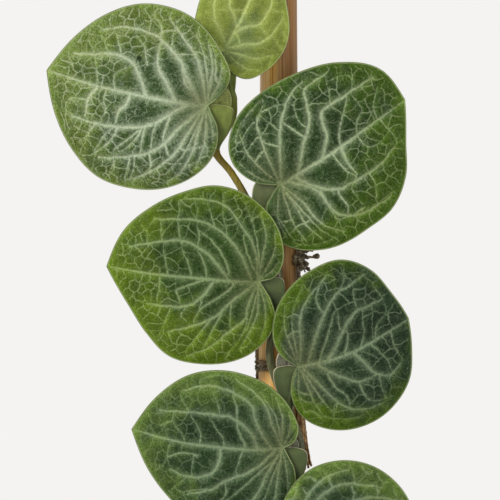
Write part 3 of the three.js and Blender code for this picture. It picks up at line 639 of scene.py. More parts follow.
def main_veins(outline, draw):
    """The midrib and the side veins, each as its line and its half widths along it."""
    veins = VEINS[outline.name]
    along = np.linspace(0, MIDRIB_END, MIDRIB_POINTS)
    sway = veins["bow"] * outline.size * np.sin(math.pi * along**0.9) + 0.16 * np.sin(11 * along)
    midrib = np.stack([along * outline.tip, sway], 1)
    wide = 0.45 + 0.55 * outline.size
    lines = [(midrib, MIDRIB_HALF_WIDTH * wide * (1 - 0.68 * along**0.8))]
    for side, half in ((1, "left"), (-1, "right")):
        for start, *waypoints in veins[half]:
            u = max(start / 100, FIRST_START) * outline.tip
            corners = [(u, np.interp(u, midrib[:, 0], midrib[:, 1]))]
            for angle, percent in waypoints:
                way = polar(min(angle + draw.uniform(-0.4, 0.4), outline.end(side) * 0.97), 1.0) * (1, side)
                corners.append(way * outline.reach(way[:1], way[1:])[0] * (percent / 100))
            line = rounded_path(corners, VEIN_STEP)
            at = np.linspace(0, 1, len(line))
            kinks = 0.12 * np.sin(at * len(line) * 0.36 + draw.uniform(0, 6)) * np.minimum(1, 4 * at)
            line[:, 1] += kinks * side
            lobe = np.interp(waypoints[0][0], LOBE_ANGLES, LOBE_WIDTHS)
            rising = 1 - 1.1 * (1 - lobe) * np.exp(-((at / 0.3) ** 2))
            lines.append((line, VEIN_HALF_WIDTH * lobe * wide * rising * (1 - 0.56 * at)))
    return lines


def known_rungs(outline, mains, draw):
    """The second rank where it is known, each line drawn out to the veins that its ends lie near."""
    known = []
    for waypoints in RUNGS[outline.name]:
        ways = polar(np.array([angle + draw.uniform(-0.3, 0.3) for angle, _ in waypoints]), 1.0)
        shares = np.array([percent / 100 for _, percent in waypoints])
        known.append(ways * (outline.reach(*ways.T) * shares)[:, None])
    followed = [on_line(corners, 0.5)[0] for corners in known]
    lines = []
    for i, corners in enumerate(known):
        others = np.vstack([line for line, _ in mains] + followed[:i] + followed[i + 1:])
        for end in (0, -1):
            gaps = np.linalg.norm(others - corners[end], axis=1)
            if JOINED_GAP < gaps.min() < JOIN_GAP:
                joint = others[gaps.argmin()][None]
                corners = np.vstack([joint, corners] if end == 0 else [corners, joint])
        line = rounded_path(corners, VEIN_STEP)
        at = np.linspace(0, 1, len(line))
        line = line + 0.08 * np.sin(at * len(line) * 0.45 + draw.uniform(0, 6))[:, None]
        out, _ = outline.place(line)
        taper = draw.uniform(0.75, 1.2) * (1 - 0.3 * at) * np.clip(0.45 + 2.2 * out, 0, 1)
        lines.append((line, np.interp(out, WIDTH_SHARES, RANK_WIDTHS[0]) * taper))
    return lines


# %% Seeds between the veins
# In mm: how close the places for seeds lie, and how clear of the veins the seeds of each rank keep.
SEED_STEP, SEED_CLEAR, THIN_CLEAR = 1.15, 0.8, 0.7
# Places in the middle of a lane between veins are taken first, with some luck.
LANE_HALF, LANE_LUCK = 3.2, 1.6
# The least gap between two seeds across and along the veins, and what the fan of veins beside the
# sinus adds to it.
SEED_ACROSS, FAN_ACROSS = 10.5, -5.0
SEED_ALONG, FAN_ALONG = 7.2, 8.0
RAYS_AT_ONCE = 400


def near_tree(points):
    """A search tree of flat points."""
    tree = KDTree(len(points))
    for i, (u, v) in enumerate(points):
        tree.insert((u, v, 0.0), i)
    tree.balance()
    return tree


def nearest(tree, points):
    """The gap to, and the index of, the nearest point of the tree for each point."""
    found = [tree.find((u, v, 0.0)) for u, v in points]
    return np.array([f[2] for f in found]), np.array([f[1] for f in found])


def honeycomb(low, high, step):
    """Points in staggered rows, step mm apart, between two corners."""
    points = []
    for i, v in enumerate(np.arange(low[1], high[1], step * math.sqrt(3) / 2)):
        u = np.arange(low[0] + (i % 2) * step / 2, high[0], step)
        points.append(np.stack([u, np.full(len(u), v)], 1))
    return np.vstack(points)


def walls_of(lines):
    """Every straight stretch of some lines, as starts and steps."""
    starts = np.vstack([line[:-1] for line, _ in lines])
    return starts, np.vstack([np.diff(line, axis=0) for line, _ in lines])


def crossed(first, second):
    """The flat cross product of each pair of steps."""
    return first[..., 0] * second[..., 1] - first[..., 1] * second[..., 0]


def first_wall(origins, ways, walls):
    """How far along its way each ray meets a wall, or infinity."""
    starts, steps = walls
    out = np.full(len(origins), np.inf)
    for low in range(0, len(origins), RAYS_AT_ONCE):
        part = slice(low, low + RAYS_AT_ONCE)
        off = starts[None] - origins[part, None]
        way = ways[part, None]
        bottom = crossed(way, steps[None])
        bottom = np.where(np.abs(bottom) < 1e-12, 1e-12, bottom)
        along, on = crossed(off, steps[None]) / bottom, crossed(off, way) / bottom
        hit = (along > 1e-6) & (on > -0.02) & (on < 1.02)
        out[part] = np.where(hit, along, np.inf).min(1)
    return out


def parted(first, second, walls):
    """Whether a wall stands between each pair of points."""
    return first_wall(first, second - first, walls) < 1.0


def scatter(outline, step, play, edge, draw):
    """Points about step mm apart inside the margin, each moved by up to play mm either way."""
    ring = outline.ring(1.0)
    points = honeycomb(ring.min(0), ring.max(0), step)
    points = points + np.array([[draw.uniform(-1, 1), draw.uniform(-1, 1)] for _ in points]) * play
    return points[outline.holds(points, edge)]


def wall_gap(walls, points):
    """The gap from each point to the nearest wall."""
    return nearest(near_tree(np.vstack([walls[0], walls[0] + walls[1] / 2])), points)[0]


def sow(outline, walls, draw):
    """Seeds of the large cells, spaced wider across the veins than along them, most near lane middles."""
    maybe = scatter(outline, SEED_STEP, 0.5, 0.955, draw)
    gap = wall_gap(walls, maybe)
    maybe, gap = maybe[gap > SEED_CLEAR], gap[gap > SEED_CLEAR]
    order = np.argsort([draw.random() * LANE_LUCK - min(g, LANE_HALF) / LANE_HALF for g in gap])
    share, angle = outline.place(maybe)
    scale = 0.35 + 0.65 * outline.size
    small = 1 - 0.35 * np.clip((share - 0.55) / 0.4, 0, 1)
    fan = np.clip((angle - 25) / 25, 0, 1) * np.clip((0.85 - share) / 0.3, 0, 1)
    across = (SEED_ACROSS + FAN_ACROSS * fan) * small * scale
    along = (SEED_ALONG + FAN_ALONG * fan) * small * scale
    out = maybe / np.maximum(np.linalg.norm(maybe, axis=1), 0.1)[:, None]
    kept = []
    for i in order:
        if kept:
            off = maybe[kept] - maybe[i]
            sideways = off @ np.array([-out[i][1], out[i][0]])
            close = np.hypot(off @ out[i] / along[i], sideways / across[i]) < 1
            rivals = maybe[kept][close]
            if len(rivals) and not parted(np.repeat(maybe[i][None], len(rivals), 0), rivals, walls).all():
                continue
        kept.append(i)
    return maybe[kept]


def sow_thin(outline, walls, draw):
    """Seeds of the small cells: an even scatter that thins out towards the sinus."""
    spread = VEINS[outline.name]["cells"] * (0.4 + 0.6 * outline.size)
    maybe = scatter(outline, spread, 0.36 * spread, 0.97, draw)
    share, _ = outline.place(maybe)
    lucky = np.array([draw.random() for _ in maybe])
    maybe = maybe[lucky < np.clip((share - 0.2) / 0.5, 0.2, 1)]
    return maybe[wall_gap(walls, maybe) > THIN_CLEAR]


# %% Borders between the seeds
WANDER = 0.16
MIRRORED_FROM = 0.62
BEHIND_SINUS = (3.0, 7.0, 12.0)
# In mm: the shortest and the longest border, and how far one is stretched to meet a wall.
BORDER_SHORTEST, BORDER_LONGEST, BORDER_REACH = 0.5, 40, 7
# The share of borders left out, and the greatest bend as a share of a border's length.
BORDER_MISSING, BORDER_BEND = 0.03, 0.09


def wander(line):
    """The line's points shifted by a smooth field, so that straight borders bend and still meet."""
    u, v = line[:, 0], line[:, 1]
    aside = np.sin(1.7 * v + 1.3 * np.sin(0.9 * u)) + 0.6 * np.sin(3.9 * v - 1.1 * u)
    along = np.sin(1.5 * u + 1.7 * np.sin(1.1 * v)) + 0.6 * np.sin(3.4 * u + 1.6 * v)
    return line + WANDER * np.stack([aside, along], 1)


def part_cells(outline, seeds, walls, widths, edge, draw):
    """The borders between the seeds' cells, each ending on the wall it meets, with half widths.

    The outer seeds are mirrored over a ring at edge, so that the cells close in loops there.
    """
    share, _ = outline.place(seeds)
    outer = np.flatnonzero(share > MIRRORED_FROM)
    ghosts = seeds[outer] * ((2 * edge - share[outer]) / share[outer])[:, None]
    everyone = np.vstack([seeds, ghosts, [polar(180, r) for r in BEHIND_SINUS]])
    mirrored = {(int(i), len(seeds) + k) for k, i in enumerate(outer)}
    _, _, triangles, *_ = delaunay_2d_cdt([Vector(p) for p in everyone], [], [], 0, 1e-6)
    thirds_of = {}
    for a, b, c in triangles:
        for p, q, third in ((a, b, c), (b, c, a), (c, a, b)):
            thirds_of.setdefault((min(p, q), max(p, q)), []).append(third)
    pairs = [(p, q, thirds) for (p, q), thirds in thirds_of.items()
             if len(thirds) == 2 and (q < len(seeds) or (p, q) in mirrored)]
    first = np.array([everyone[p] for p, _, _ in pairs])
    second = np.array([everyone[q] for _, q, _ in pairs])
    middle = (first + second) / 2
    way = np.stack([first[:, 1] - second[:, 1], second[:, 0] - first[:, 0]], 1)
    way /= np.maximum(np.linalg.norm(way, axis=1), 1e-9)[:, None]
    ahead, behind = first_wall(middle, way, walls), first_wall(middle, -way, walls)
    apart = parted(first, second, walls)
    thirds = [np.array([everyone[pair[2][side]] for pair in pairs]) for side in (0, 1)]
    beyond = [parted(first, third, walls) | parted(second, third, walls) for third in thirds]
    lines = []
    for i in range(len(pairs)):
        if apart[i] or draw.random() < BORDER_MISSING:
            continue
        ends = []
        for third, cut_off in zip(thirds, beyond):
            # A border ends as far from the third seed of its triangle as from its own two.
            off = third[i] - middle[i]
            half = np.linalg.norm(first[i] - middle[i])
            lean = off @ way[i]
            lean = lean if abs(lean) > 1e-6 else 1e-6
            t = (off @ off - half**2) / (2 * lean)
            wall = ahead[i] if lean > 0 else -behind[i]
            if cut_off[i] and abs(wall) < abs(t) + BORDER_REACH:
                t = wall
            ends.append(np.clip(t, -behind[i], ahead[i]))
        low, high = sorted(ends)
        if not BORDER_SHORTEST <= high - low <= BORDER_LONGEST:
            continue
        line, at = on_line(np.array([middle[i] + way[i] * low, middle[i] + way[i] * high]), VEIN_STEP)
        bend = draw.uniform(-BORDER_BEND, BORDER_BEND) * (high - low)
        aside = np.array([-way[i][1], way[i][0]])
        line = wander(line + np.sin(math.pi * at)[:, None] * aside * bend)
        line = line[outline.holds(line, edge + 0.015)]
        if len(line) < 2:
            continue
        out, _ = outline.place(line)
        lines.append((line, np.interp(out, WIDTH_SHARES, widths) * draw.uniform(0.7, 1.2)))
    return lines


# %% [markdown]
# ## One blade as a mesh
#
# The veins have to show as relief as well as colour, so the mesh must follow them. Points are laid
# along every vein, the space between is filled with a honeycomb of points, and a constrained
# triangulation joins them all inside the margin. The cells between the veins are puffed
# up and the veins are sunk. The back gets a coarser sheet, because only soft ribs show there, and a
# rounded rim joins the two.

# %% The flat sheets
# Gaps to veins and to the margin are measured to points this far apart, in mm.
FIELD_STEP = 0.15


def triangulated(ring, inner):
    """Triangles of the ring's inside through all the points, turned to face +w."""
    points = [Vector(p) for p in np.vstack([ring, inner])]
    border = [(i, (i + 1) % len(ring)) for i in range(len(ring))]
    made = delaunay_2d_cdt(points, border, [], 1, 1e-7)
    flat = np.array([tuple(p) for p in made[0]])
    faces = np.array([f for f in made[2] if len(f) == 3])
    a, b, c = flat[faces[:, 0]], flat[faces[:, 1]], flat[faces[:, 2]]
    turned = (b[:, 0] - a[:, 0]) * (c[:, 1] - a[:, 1]) - (b[:, 1] - a[:, 1]) * (c[:, 0] - a[:, 0]) < 0
    faces[turned] = faces[turned][:, ::-1]
    return flat, faces


def top_sheet(outline, ring, lines, fineness, rim_tree):
    """The upper side's flat points and triangles, with points along every vein."""
    followed = np.vstack([on_line(line, fineness)[0] for line, _ in lines])
    _, kept = np.unique(np.round(followed / (fineness * 0.45)), axis=0, return_index=True)
    followed = followed[np.sort(kept)]
    filling = honeycomb(ring.min(0), ring.max(0), fineness)
    gap, _ = nearest(near_tree(followed), filling)
    inner = np.vstack([followed, filling[gap > fineness * 0.55]])
    rim_gap, _ = nearest(rim_tree, inner)
    return triangulated(ring, inner[outline.holds(inner, 1.0, 1.0) & (rim_gap > fineness * 0.45)])


def vein_field(lines, points):
    """The gap from each point to the nearest line, and that line's half width there."""
    spots = [on_line(line, FIELD_STEP) for line, _ in lines]
    widths = [np.interp(at, np.linspace(0, 1, len(w)), w) for (_, at), (_, w) in zip(spots, lines)]
    gap, which = nearest(near_tree(np.vstack([p for p, _ in spots])), points)
    return gap, np.concatenate(widths)[which]


def blade_rise(outline, points):
    """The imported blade's own form: two arched halves, a sunken midrib, a dip and turned margins."""
    u, v = points.T
    r = np.hypot(u, v)
    share = np.minimum(1, r / np.maximum(outline.reach(u, v), 1))
    arch = 1.5 * (1 - np.exp(-np.abs(v) / 5)) * np.minimum(1, (outline.tip - u) / 14)
    return arch - 3.4 * share**3 * (r / 45) - 1.3 * np.exp(-((r / 7) ** 2))


# %% The veins as marks and relief
# The height in mm from the bottom of a vein to the top of a cell.
PUFF, YOUNG_PUFF = 0.75, 0.3375
# The shares of the reach at which the nets of the rungs and of the thin veins close.
SMALL_EDGE, THIN_EDGE = 0.94, 0.975


def vein_net(outline, draw):
    """The three ranks of veins, and the seeds of the large cells."""
    mains = main_veins(outline, draw)
    walls = walls_of(mains)
    seeds = sow(outline, walls, draw)
    if outline.name in RUNGS:
        smalls = known_rungs(outline, mains, draw)
    else:
        smalls = part_cells(outline, seeds, walls, RANK_WIDTHS[0], SMALL_EDGE, draw)
    walls = walls_of(mains + smalls)
    thin_seeds = sow_thin(outline, walls, draw)
    thins = part_cells(outline, thin_seeds, walls, RANK_WIDTHS[1], THIN_EDGE, draw)
    return mains, smalls, thins, seeds


def vein_relief(outline, flat, rim_gap, mains, smalls, thins):
    """Each point's height, and how strongly the ranks and the haze beside them show there."""
    main_gap, main_width = vein_field(mains, flat)
    small_gap, small_width = vein_field(smalls, flat)
    thin_gap, thin_width = vein_field(thins, flat)
    out, _ = outline.place(flat)
    near_sinus = np.exp(-((np.hypot(*flat.T) / (15 * outline.size)) ** 2))

    # A vein shows in full from a half width of about 0.4 mm, and the two finer ranks fade out just
    # inside the margin.
    main = np.exp(-((main_gap / (1.05 * main_width)) ** (1.6 - 0.45 * near_sinus)))
    main *= np.clip(main_width / 0.42, 0.45, 1) * (1 - 0.3 * near_sinus)
    small = np.exp(-((small_gap / (1.05 * small_width)) ** 1.6)) * np.clip(small_width / 0.40, 0.4, 1)
    small *= np.clip((1.01 - out) / 0.05, 0, 1)
    thin = np.exp(-((thin_gap / 0.27) ** 2)) * np.clip((out - 0.25) / 0.4, 0.2, 1)
    thin *= np.clip((1.0 - out) / 0.045, 0, 1)
    thin *= np.clip(thin_width / RANK_WIDTHS[1][0], 0.3, 1.2)

    # The haze is widest beside the main veins, and the space between the veins is puffed up.
    beside = np.exp(-((main_gap / (2.0 + 1.5 * near_sinus)) ** 1.3)) * np.clip(main_width / 0.6, 0.25, 1)
    between = 0.8 * np.exp(-((small_gap / 1.3) ** 1.3)) * np.clip(small_width / 0.4, 0.3, 1)
    pillow = 1 - np.exp(-np.minimum(main_gap / 1.5, small_gap / 1.2))
    depth = YOUNG_PUFF if outline.name == "young" else PUFF
    puff = depth * (pillow - 0.65) * np.clip(rim_gap / 3, 0, 1) - 0.08 * thin
    turned_edge = 0.1 * np.clip(1 - rim_gap / 0.5, 0, 1) ** 2
    height = blade_rise(outline, flat) + puff - 0.15 * main - turned_edge
    return height, main, small, thin, np.maximum(beside, between)


# %% The blade
BLADE_THICK = 0.62
BACK_STEP = 1.5
RIM_BULGE = 0.18
# The distance from the margin, in mm, that the marks show as 1.
RIM_MARK = 20


def back_sheet(outline, ring, rim_tree, mains):
    """The back's points and triangles, a coarse sheet with soft ribs, and its marks."""
    coarse = honeycomb(ring.min(0), ring.max(0), BACK_STEP)
    coarse_gap, _ = nearest(rim_tree, coarse)
    flat, faces = triangulated(ring, coarse[outline.holds(coarse, 1.0) & (coarse_gap > 0.8)])
    rib_gap, rib_width = vein_field(mains, flat)
    ribs = np.exp(-((rib_gap / (1.6 * rib_width)) ** 2))
    height = blade_rise(outline, flat) - BLADE_THICK - 0.3 * ribs
    rim = np.clip(nearest(rim_tree, flat)[0] / RIM_MARK, 0, 1)
    return np.column_stack([flat, height]), faces, np.stack([ribs, ribs * 0, rim, ribs * 0 + 0.5], 1)


def grow_blade(outline, fineness, seed):
    """Points, faces, which faces are the back, and the marks of one blade."""
    draw = random.Random(seed)
    mains, smalls, thins, seeds = vein_net(outline, draw)
    ring = outline.ring(fineness)
    rim_tree = near_tree(outline.ring(FIELD_STEP))
    flat, top = top_sheet(outline, ring, mains + smalls + thins, fineness, rim_tree)
    rim_gap, _ = nearest(rim_tree, flat)
    height, main, small, thin, halo = vein_relief(outline, flat, rim_gap, mains, smalls, thins)

    # Every large cell has a tone of its own, from the seed that is nearest.
    _, cell = nearest(near_tree(seeds), flat)
    tones = np.array([draw.random() for _ in seeds])
    marks = np.stack([main, small, np.clip(rim_gap / RIM_MARK, 0, 1), tones[cell]], 1)
    under, bottom, under_marks = back_sheet(outline, ring, rim_tree, mains)

    along = np.roll(ring, -1, 0) - np.roll(ring, 1, 0)
    outward = np.stack([-along[:, 1], along[:, 0]], 1)
    outward /= np.maximum(np.linalg.norm(outward, axis=1), 1e-9)[:, None]
    edge = np.column_stack([ring + outward * RIM_BULGE, height[: len(ring)] - BLADE_THICK / 2])
    edge_marks = np.tile([0, 0, 0, 0.5], (len(ring), 1))

    # Both sheets start with the margin's own points, so the rim joins them point by point.
    second, third = len(flat), len(flat) + len(under)
    faces = [tuple(f) for f in top.tolist()]
    faces += [(second + c, second + b, second + a) for a, b, c in bottom.tolist()]
    for i in range(len(ring)):
        j = (i + 1) % len(ring)
        faces += [(i, third + i, third + j, j), (third + i, second + i, second + j, third + j)]
    back = np.zeros(len(faces), int)
    back[len(top) : len(top) + len(bottom)] = 1
    soft = np.zeros((third + len(ring), 2))
    soft[:second] = np.stack([halo, thin], 1)
    points = np.vstack([np.column_stack([flat, height]), under, edge])
    return points, faces, back, np.vstack([marks, under_marks, edge_marks]), soft


# %% [markdown]
# ## The winged stalk
#
# Between the stem and the sinus each leaf has a short stalk with a flat ear on either side, which
# folds round the stem in bud and opens as the leaf does. It is dull green with a thin pale rim. The
# packed leaf has a coarse one, and this is the same plate with rounder corners, its midrib, and the
# second, greyer ear behind it.

# %% The stalk
# The ears' half widths in mm at shares of the way from the node to the sinus, and by how much the
# last three rows are narrowed.
EAR_LENGTHS = (0.04, 0.25, 0.5, 0.72, 0.87, 0.96, 1.0)
EAR_WIDTHS = (1.6, 4.6, 7.4, 8.9, 8.9, 6.8, 3.2)
EAR_ENDS = (0.93, 0.8, 0.55)
EAR_ROWS, EAR_COLUMNS = 34, 21
EAR_THICK, SECOND_EAR_THICK = 0.7, 0.56
SECOND_EAR_RINGS, SECOND_EAR_SIDES = (0.001, 0.3, 0.6, 0.85, 1.0), 48
SINUS_DIP = (0, 0, -2.3)
RIB_END = (4.3, 0.27, -2.6)


def plate(points, columns, thick, facing):
    """A thin closed plate from a grid of points, given row by row."""
    points = np.asarray(points)
    rows = len(points) // columns
    count = len(points)
    both = np.vstack([points + facing * thick / 2, points - facing * thick / 2])
    faces = []
    for i in range(rows - 1):
        for j in range(columns - 1):
            a, b = i * columns + j, (i + 1) * columns + j
            faces += [(a, b, b + 1, a + 1), (a + count, a + 1 + count, b + 1 + count, b + count)]
    rim = [j for j in range(columns)] + [i * columns + columns - 1 for i in range(1, rows)]
    rim += [(rows - 1) * columns + j for j in range(columns - 2, -1, -1)]
    rim += [i * columns for i in range(rows - 2, 0, -1)]
    faces += [(a, b, b + count, a + count) for a, b in zip(rim, rim[1:] + rim[:1])]
    return both, faces


def front_ears(node, ways, length, wing, stem_side):
    """The two ears as one plate, and each of its points' distance from the rim."""
    way, across, front = ways
    shares = np.linspace(EAR_LENGTHS[0], EAR_LENGTHS[-1], EAR_ROWS)
    widths = np.pad(np.interp(shares, EAR_LENGTHS, EAR_WIDTHS), 3, "edge")
    widths = np.convolve(widths, np.ones(7) / 7, "valid")
    widths[-3:] *= EAR_ENDS
    spots, rims = [], []
    for share, width in zip(shares, widths):
        for c in np.linspace(-1, 1, EAR_COLUMNS):
            half = width * wing * (1.0 if c * stem_side > 0 else 0.8)
            lift = 0.5 * abs(c) * share + 0.35 * abs(c) ** 3 - 0.6 * share**6
            spots.append(node + way * share * length + across * c * half + front * lift)
            rims.append(min(half * (1 - abs(c)), (EAR_LENGTHS[-1] - share) * length))
    return plate(spots, EAR_COLUMNS, EAR_THICK, front), rims


def second_ear(centre, ways, wing, behind, stem_side):
    """The ear behind, an oval plate, and each of its points' distance from the rim."""
    way, across, front = ways
    turns = np.linspace(0, 2 * math.pi, SECOND_EAR_SIDES, endpoint=False)
    lean = stem_side * 0.35
    rows = []
    for r in SECOND_EAR_RINGS:
        a, b = 6.2 * wing * behind * r * np.cos(turns), 4.6 * wing * behind * r * np.sin(turns)
        x = a * math.cos(lean) - b * math.sin(lean) + 0.5 * wing
        y = a * math.sin(lean) + b * math.cos(lean) + stem_side * 3.9 * wing
        row = centre + x[:, None] * way + y[:, None] * across + front * (0.3 * r**2)
        rows.append(np.vstack([row, row[:1]]))
    rims = np.repeat([5 * wing * (1 - r) for r in SECOND_EAR_RINGS], SECOND_EAR_SIDES + 1)
    return plate(np.vstack(rows), SECOND_EAR_SIDES + 1, SECOND_EAR_THICK, front), rims


def grow_stalk(node, wing, behind):
    """The two ears, the rib and the second ear, in the blade's own coordinates, and rim marks."""
    sinus = np.array(SINUS_DIP)
    along = sinus - node
    length = np.linalg.norm(along)
    way = along / length
    across = np.cross([0, 0, 1], way)
    across /= np.linalg.norm(across)
    front = np.cross(way, across)
    stem_side = -1 if across[0] > 0 else 1
    ways = (way, across, front)
    ears, rims = front_ears(node, ways, length, wing, stem_side)
    second, second_rims = second_ear(node + along * 0.98 - front * 0.7, ways, wing, behind, stem_side)
    path = [node - 0.1 * front, node + along * 0.6 - 0.35 * front, sinus - 0.3 * front, RIB_END]
    path = rounded_path(path, 0.6)
    thick = (1.35 - 0.7 * np.linspace(0, 1, len(path))) * max(0.75, wing)
    rib = tube(path, thick, 14)
    points, faces = gather([ears, second, rib])
    rim = np.concatenate([rims, rims, second_rims, second_rims, np.full(len(rib[0]), 9.0)])
    kind = np.concatenate([np.zeros(len(ears[0])), np.ones(len(second[0])), np.full(len(rib[0]), 0.5)])
    marks = np.stack([np.clip(rim / RIM_MARK, 0, 1), kind, rim * 0, rim * 0 + 1], 1)
    return points, faces, marks


# %% [markdown]
# ## Leaf finishes
#
# The upper side is velvety, dark blue-green in the middle of each cell and yellower towards the
# margin, with pale silver along the veins and a paler haze beside the main ones. The colour reads
# the marks that the blade carries: how strong the three ranks of veins and the haze are, how far
# the margin is, and a tone for each cell. A last net of hair veins and a scatter of pale specks, too
# small to model, are cell textures in the blade's own millimetres, and one old scar is a frayed
# spot. Older leaves are darker, and the youngest is light yellow-green.
# The pale rim is partly the leaf's own edge and partly a painted highlight of the turned margin.

# %% The leaf's upper side
# The rim's colour: partly the leaf's own pale edge, partly a painted highlight on the turned margin.
RIM_PALE_AND_HIGHLIGHT = (0.34, 0.40, 0.17)
SINUS_PALE = (0.25, 0.27, 0.115)
SCAR_DARK = (0.012, 0.024, 0.006)


def vein_share(b, where, ragged, veins, thins, halo, haze, looks):
    """How far each point is turned from the cell's colour to the veins' pale one."""
    worn = b.maths("MULTIPLY_ADD", ragged, 1.7, -0.85)
    strong = b.span(b.maths("ADD", veins[0], worn), 0.02, 1.0, 0.0, looks["strength"])
    middling = b.span(b.maths("ADD", veins[1], worn), 0.06, 1.0, 0.0, looks["strength"] * looks["second"])
    half_worn = b.maths("MULTIPLY", worn, 0.6)
    faint = b.span(b.maths("ADD", thins, half_worn), 0.10, 0.95, 0.0, looks["thin"])
    patch = b.span(b.noise(where, 0.9, 3.0), 0.50, 0.64)
    speck = b.maths("MULTIPLY", b.span(b.cells(where, 1.25), 0.08, 0.22, 0.65, 0.0), patch)
    lines = b.maths("MAXIMUM", b.maths("MAXIMUM", strong, middling), b.maths("MAXIMUM", faint, speck))
    feather = b.maths("MULTIPLY_ADD", ragged, 1.3, b.maths("ADD", halo, -0.65))
    hazy = b.maths("MULTIPLY", b.span(feather, 0.10, 1.0), haze)
    hairs = b.span(b.cells(b.shaken(where, 0.7, 1.6), 0.56, "DISTANCE_TO_EDGE"), 0.01, 0.12, 1.0, 0.0)
    hairs = b.maths("MULTIPLY", hairs, b.span(b.noise(where, 0.32), 0.36, 0.62, 0.0, looks["net"]))
    left = 1.0
    for pale in (lines, hazy, hairs):
        left = b.maths("MULTIPLY", left, b.maths("SUBTRACT", 1.0, pale))
    return b.maths("SUBTRACT", 1.0, left)


def leaf_finish(name, deep, fresh, silver, gold, haze, strength, thin=0.44, net=0.13, second=0.88,
                mottle=1.0, sinus=SINUS_PALE, scar=None):
    b = Bench(name, roughness=0.47, specular=0.12)
    marks = b.mark("veins")
    veins = b.parts(marks["Color"])
    rim = veins[2]
    where = b.mark("flat")["Vector"]
    halo, freshness, thins = b.axes(b.mark("zones")["Vector"])
    ragged = b.noise(where, 0.8, 4.0, 0.75)
    grain = b.noise(where, 2.5, 3.0, 0.75)
    fresher = b.maths("MULTIPLY_ADD", b.noise(where, 0.14, 3.0), 0.8, b.maths("ADD", freshness, -0.40))
    fresh_share = b.span(fresher, -0.26, 0.24)

    cell = b.mix(fresh_share, deep, fresh)
    mottled = b.span(grain, 0.34, 0.70, 1 - 0.58 * mottle, 1 + 0.78 * mottle)
    cell = b.times(cell, b.maths("MULTIPLY", b.maths("MULTIPLY_ADD", marks["Alpha"], 0.30, 0.85), mottled))
    cell = b.times(cell, b.span(halo, 0.02, 0.45, 0.84, 1.14))
    # Cells lighten near the margin: partly the leaf's paler edge, partly a painted highlight there.
    cell = b.times(cell, b.span(rim, 0.02, 0.15, 1.45, 1.0))

    haze_here = b.maths("MULTIPLY_ADD", fresh_share, -0.4 * haze, haze)
    looks = dict(strength=strength, second=second, thin=thin, net=net)
    # The outer half-millimetre turns pale: partly the leaf's own edge, partly painted highlight.
    edge = b.span(rim, 0.008, 0.030, 0.75, 0.0)
    share = b.maths("MAXIMUM", vein_share(b, where, ragged, veins, thins, halo, haze_here, looks), edge)

    near_sinus = b.span(b.gap_to(where), 2.0, 22.0, 0.8, 0.0)
    pale = b.mix(near_sinus, b.mix(fresh_share, silver, gold), sinus)
    pale = b.times(pale, b.span(grain, 0.34, 0.70, 0.74, 1.25))
    colour = b.mix(share, cell, b.mix(edge, pale, RIM_PALE_AND_HIGHLIGHT))
    if scar:
        frayed = b.maths("MULTIPLY_ADD", ragged, 1.2, b.gap_to(where, scar))
        colour = b.mix(b.span(frayed, 1.2, 2.3, 0.92, 0.0), colour, SCAR_DARK)
    return b.finish(colour, grain, 0.06)


# %% The leaf's back and the stalk
def leaf_back_finish(name, colour):
    b = Bench(name, roughness=0.6, specular=0.3)
    where = b.mark("flat")["Vector"]
    net = b.span(b.cells(where, 0.3, "DISTANCE_TO_EDGE"), 0.02, 0.14, 1.0, 0.0)
    ribs = b.span(b.parts(b.mark("veins")["Color"])[0], 0.1, 0.9, 0.0, 0.8)
    cloud = b.ramp(b.noise(where, 0.15, 3.0), (0.3, shaded(colour, 0.8)), (0.7, colour))
    rib_colour = tuple(min(1.0, 1.5 * c + 0.05) for c in colour)
    body = b.mix(b.maths("MAXIMUM", ribs, b.maths("MULTIPLY", net, 0.28)), cloud, rib_colour)
    return b.finish(body, b.noise(where, 1.8, 2.0), 0.12)


def stalk_finish(name, green, behind, rim_colour):
    b = Bench(name, roughness=0.5, specular=0.4)
    rim, kind, _ = b.parts(b.mark("veins")["Color"])
    where = b.place()
    grain = b.noise(where, 2300.0, 3.0, 0.7)
    near = b.mix(b.span(b.noise(where, 260.0, 3.0), 0.35, 0.65), shaded(green, 0.72), green)
    far = b.mix(b.span(grain, 0.36, 0.66), shaded(behind, 0.45), shaded(behind, 1.25))
    body = b.mix(b.span(kind, 0.6, 0.9), near, far)
    return b.finish(b.mix(b.span(rim, 0.006, 0.022, 0.8, 0.0), body, rim_colour), grain, 0.08)


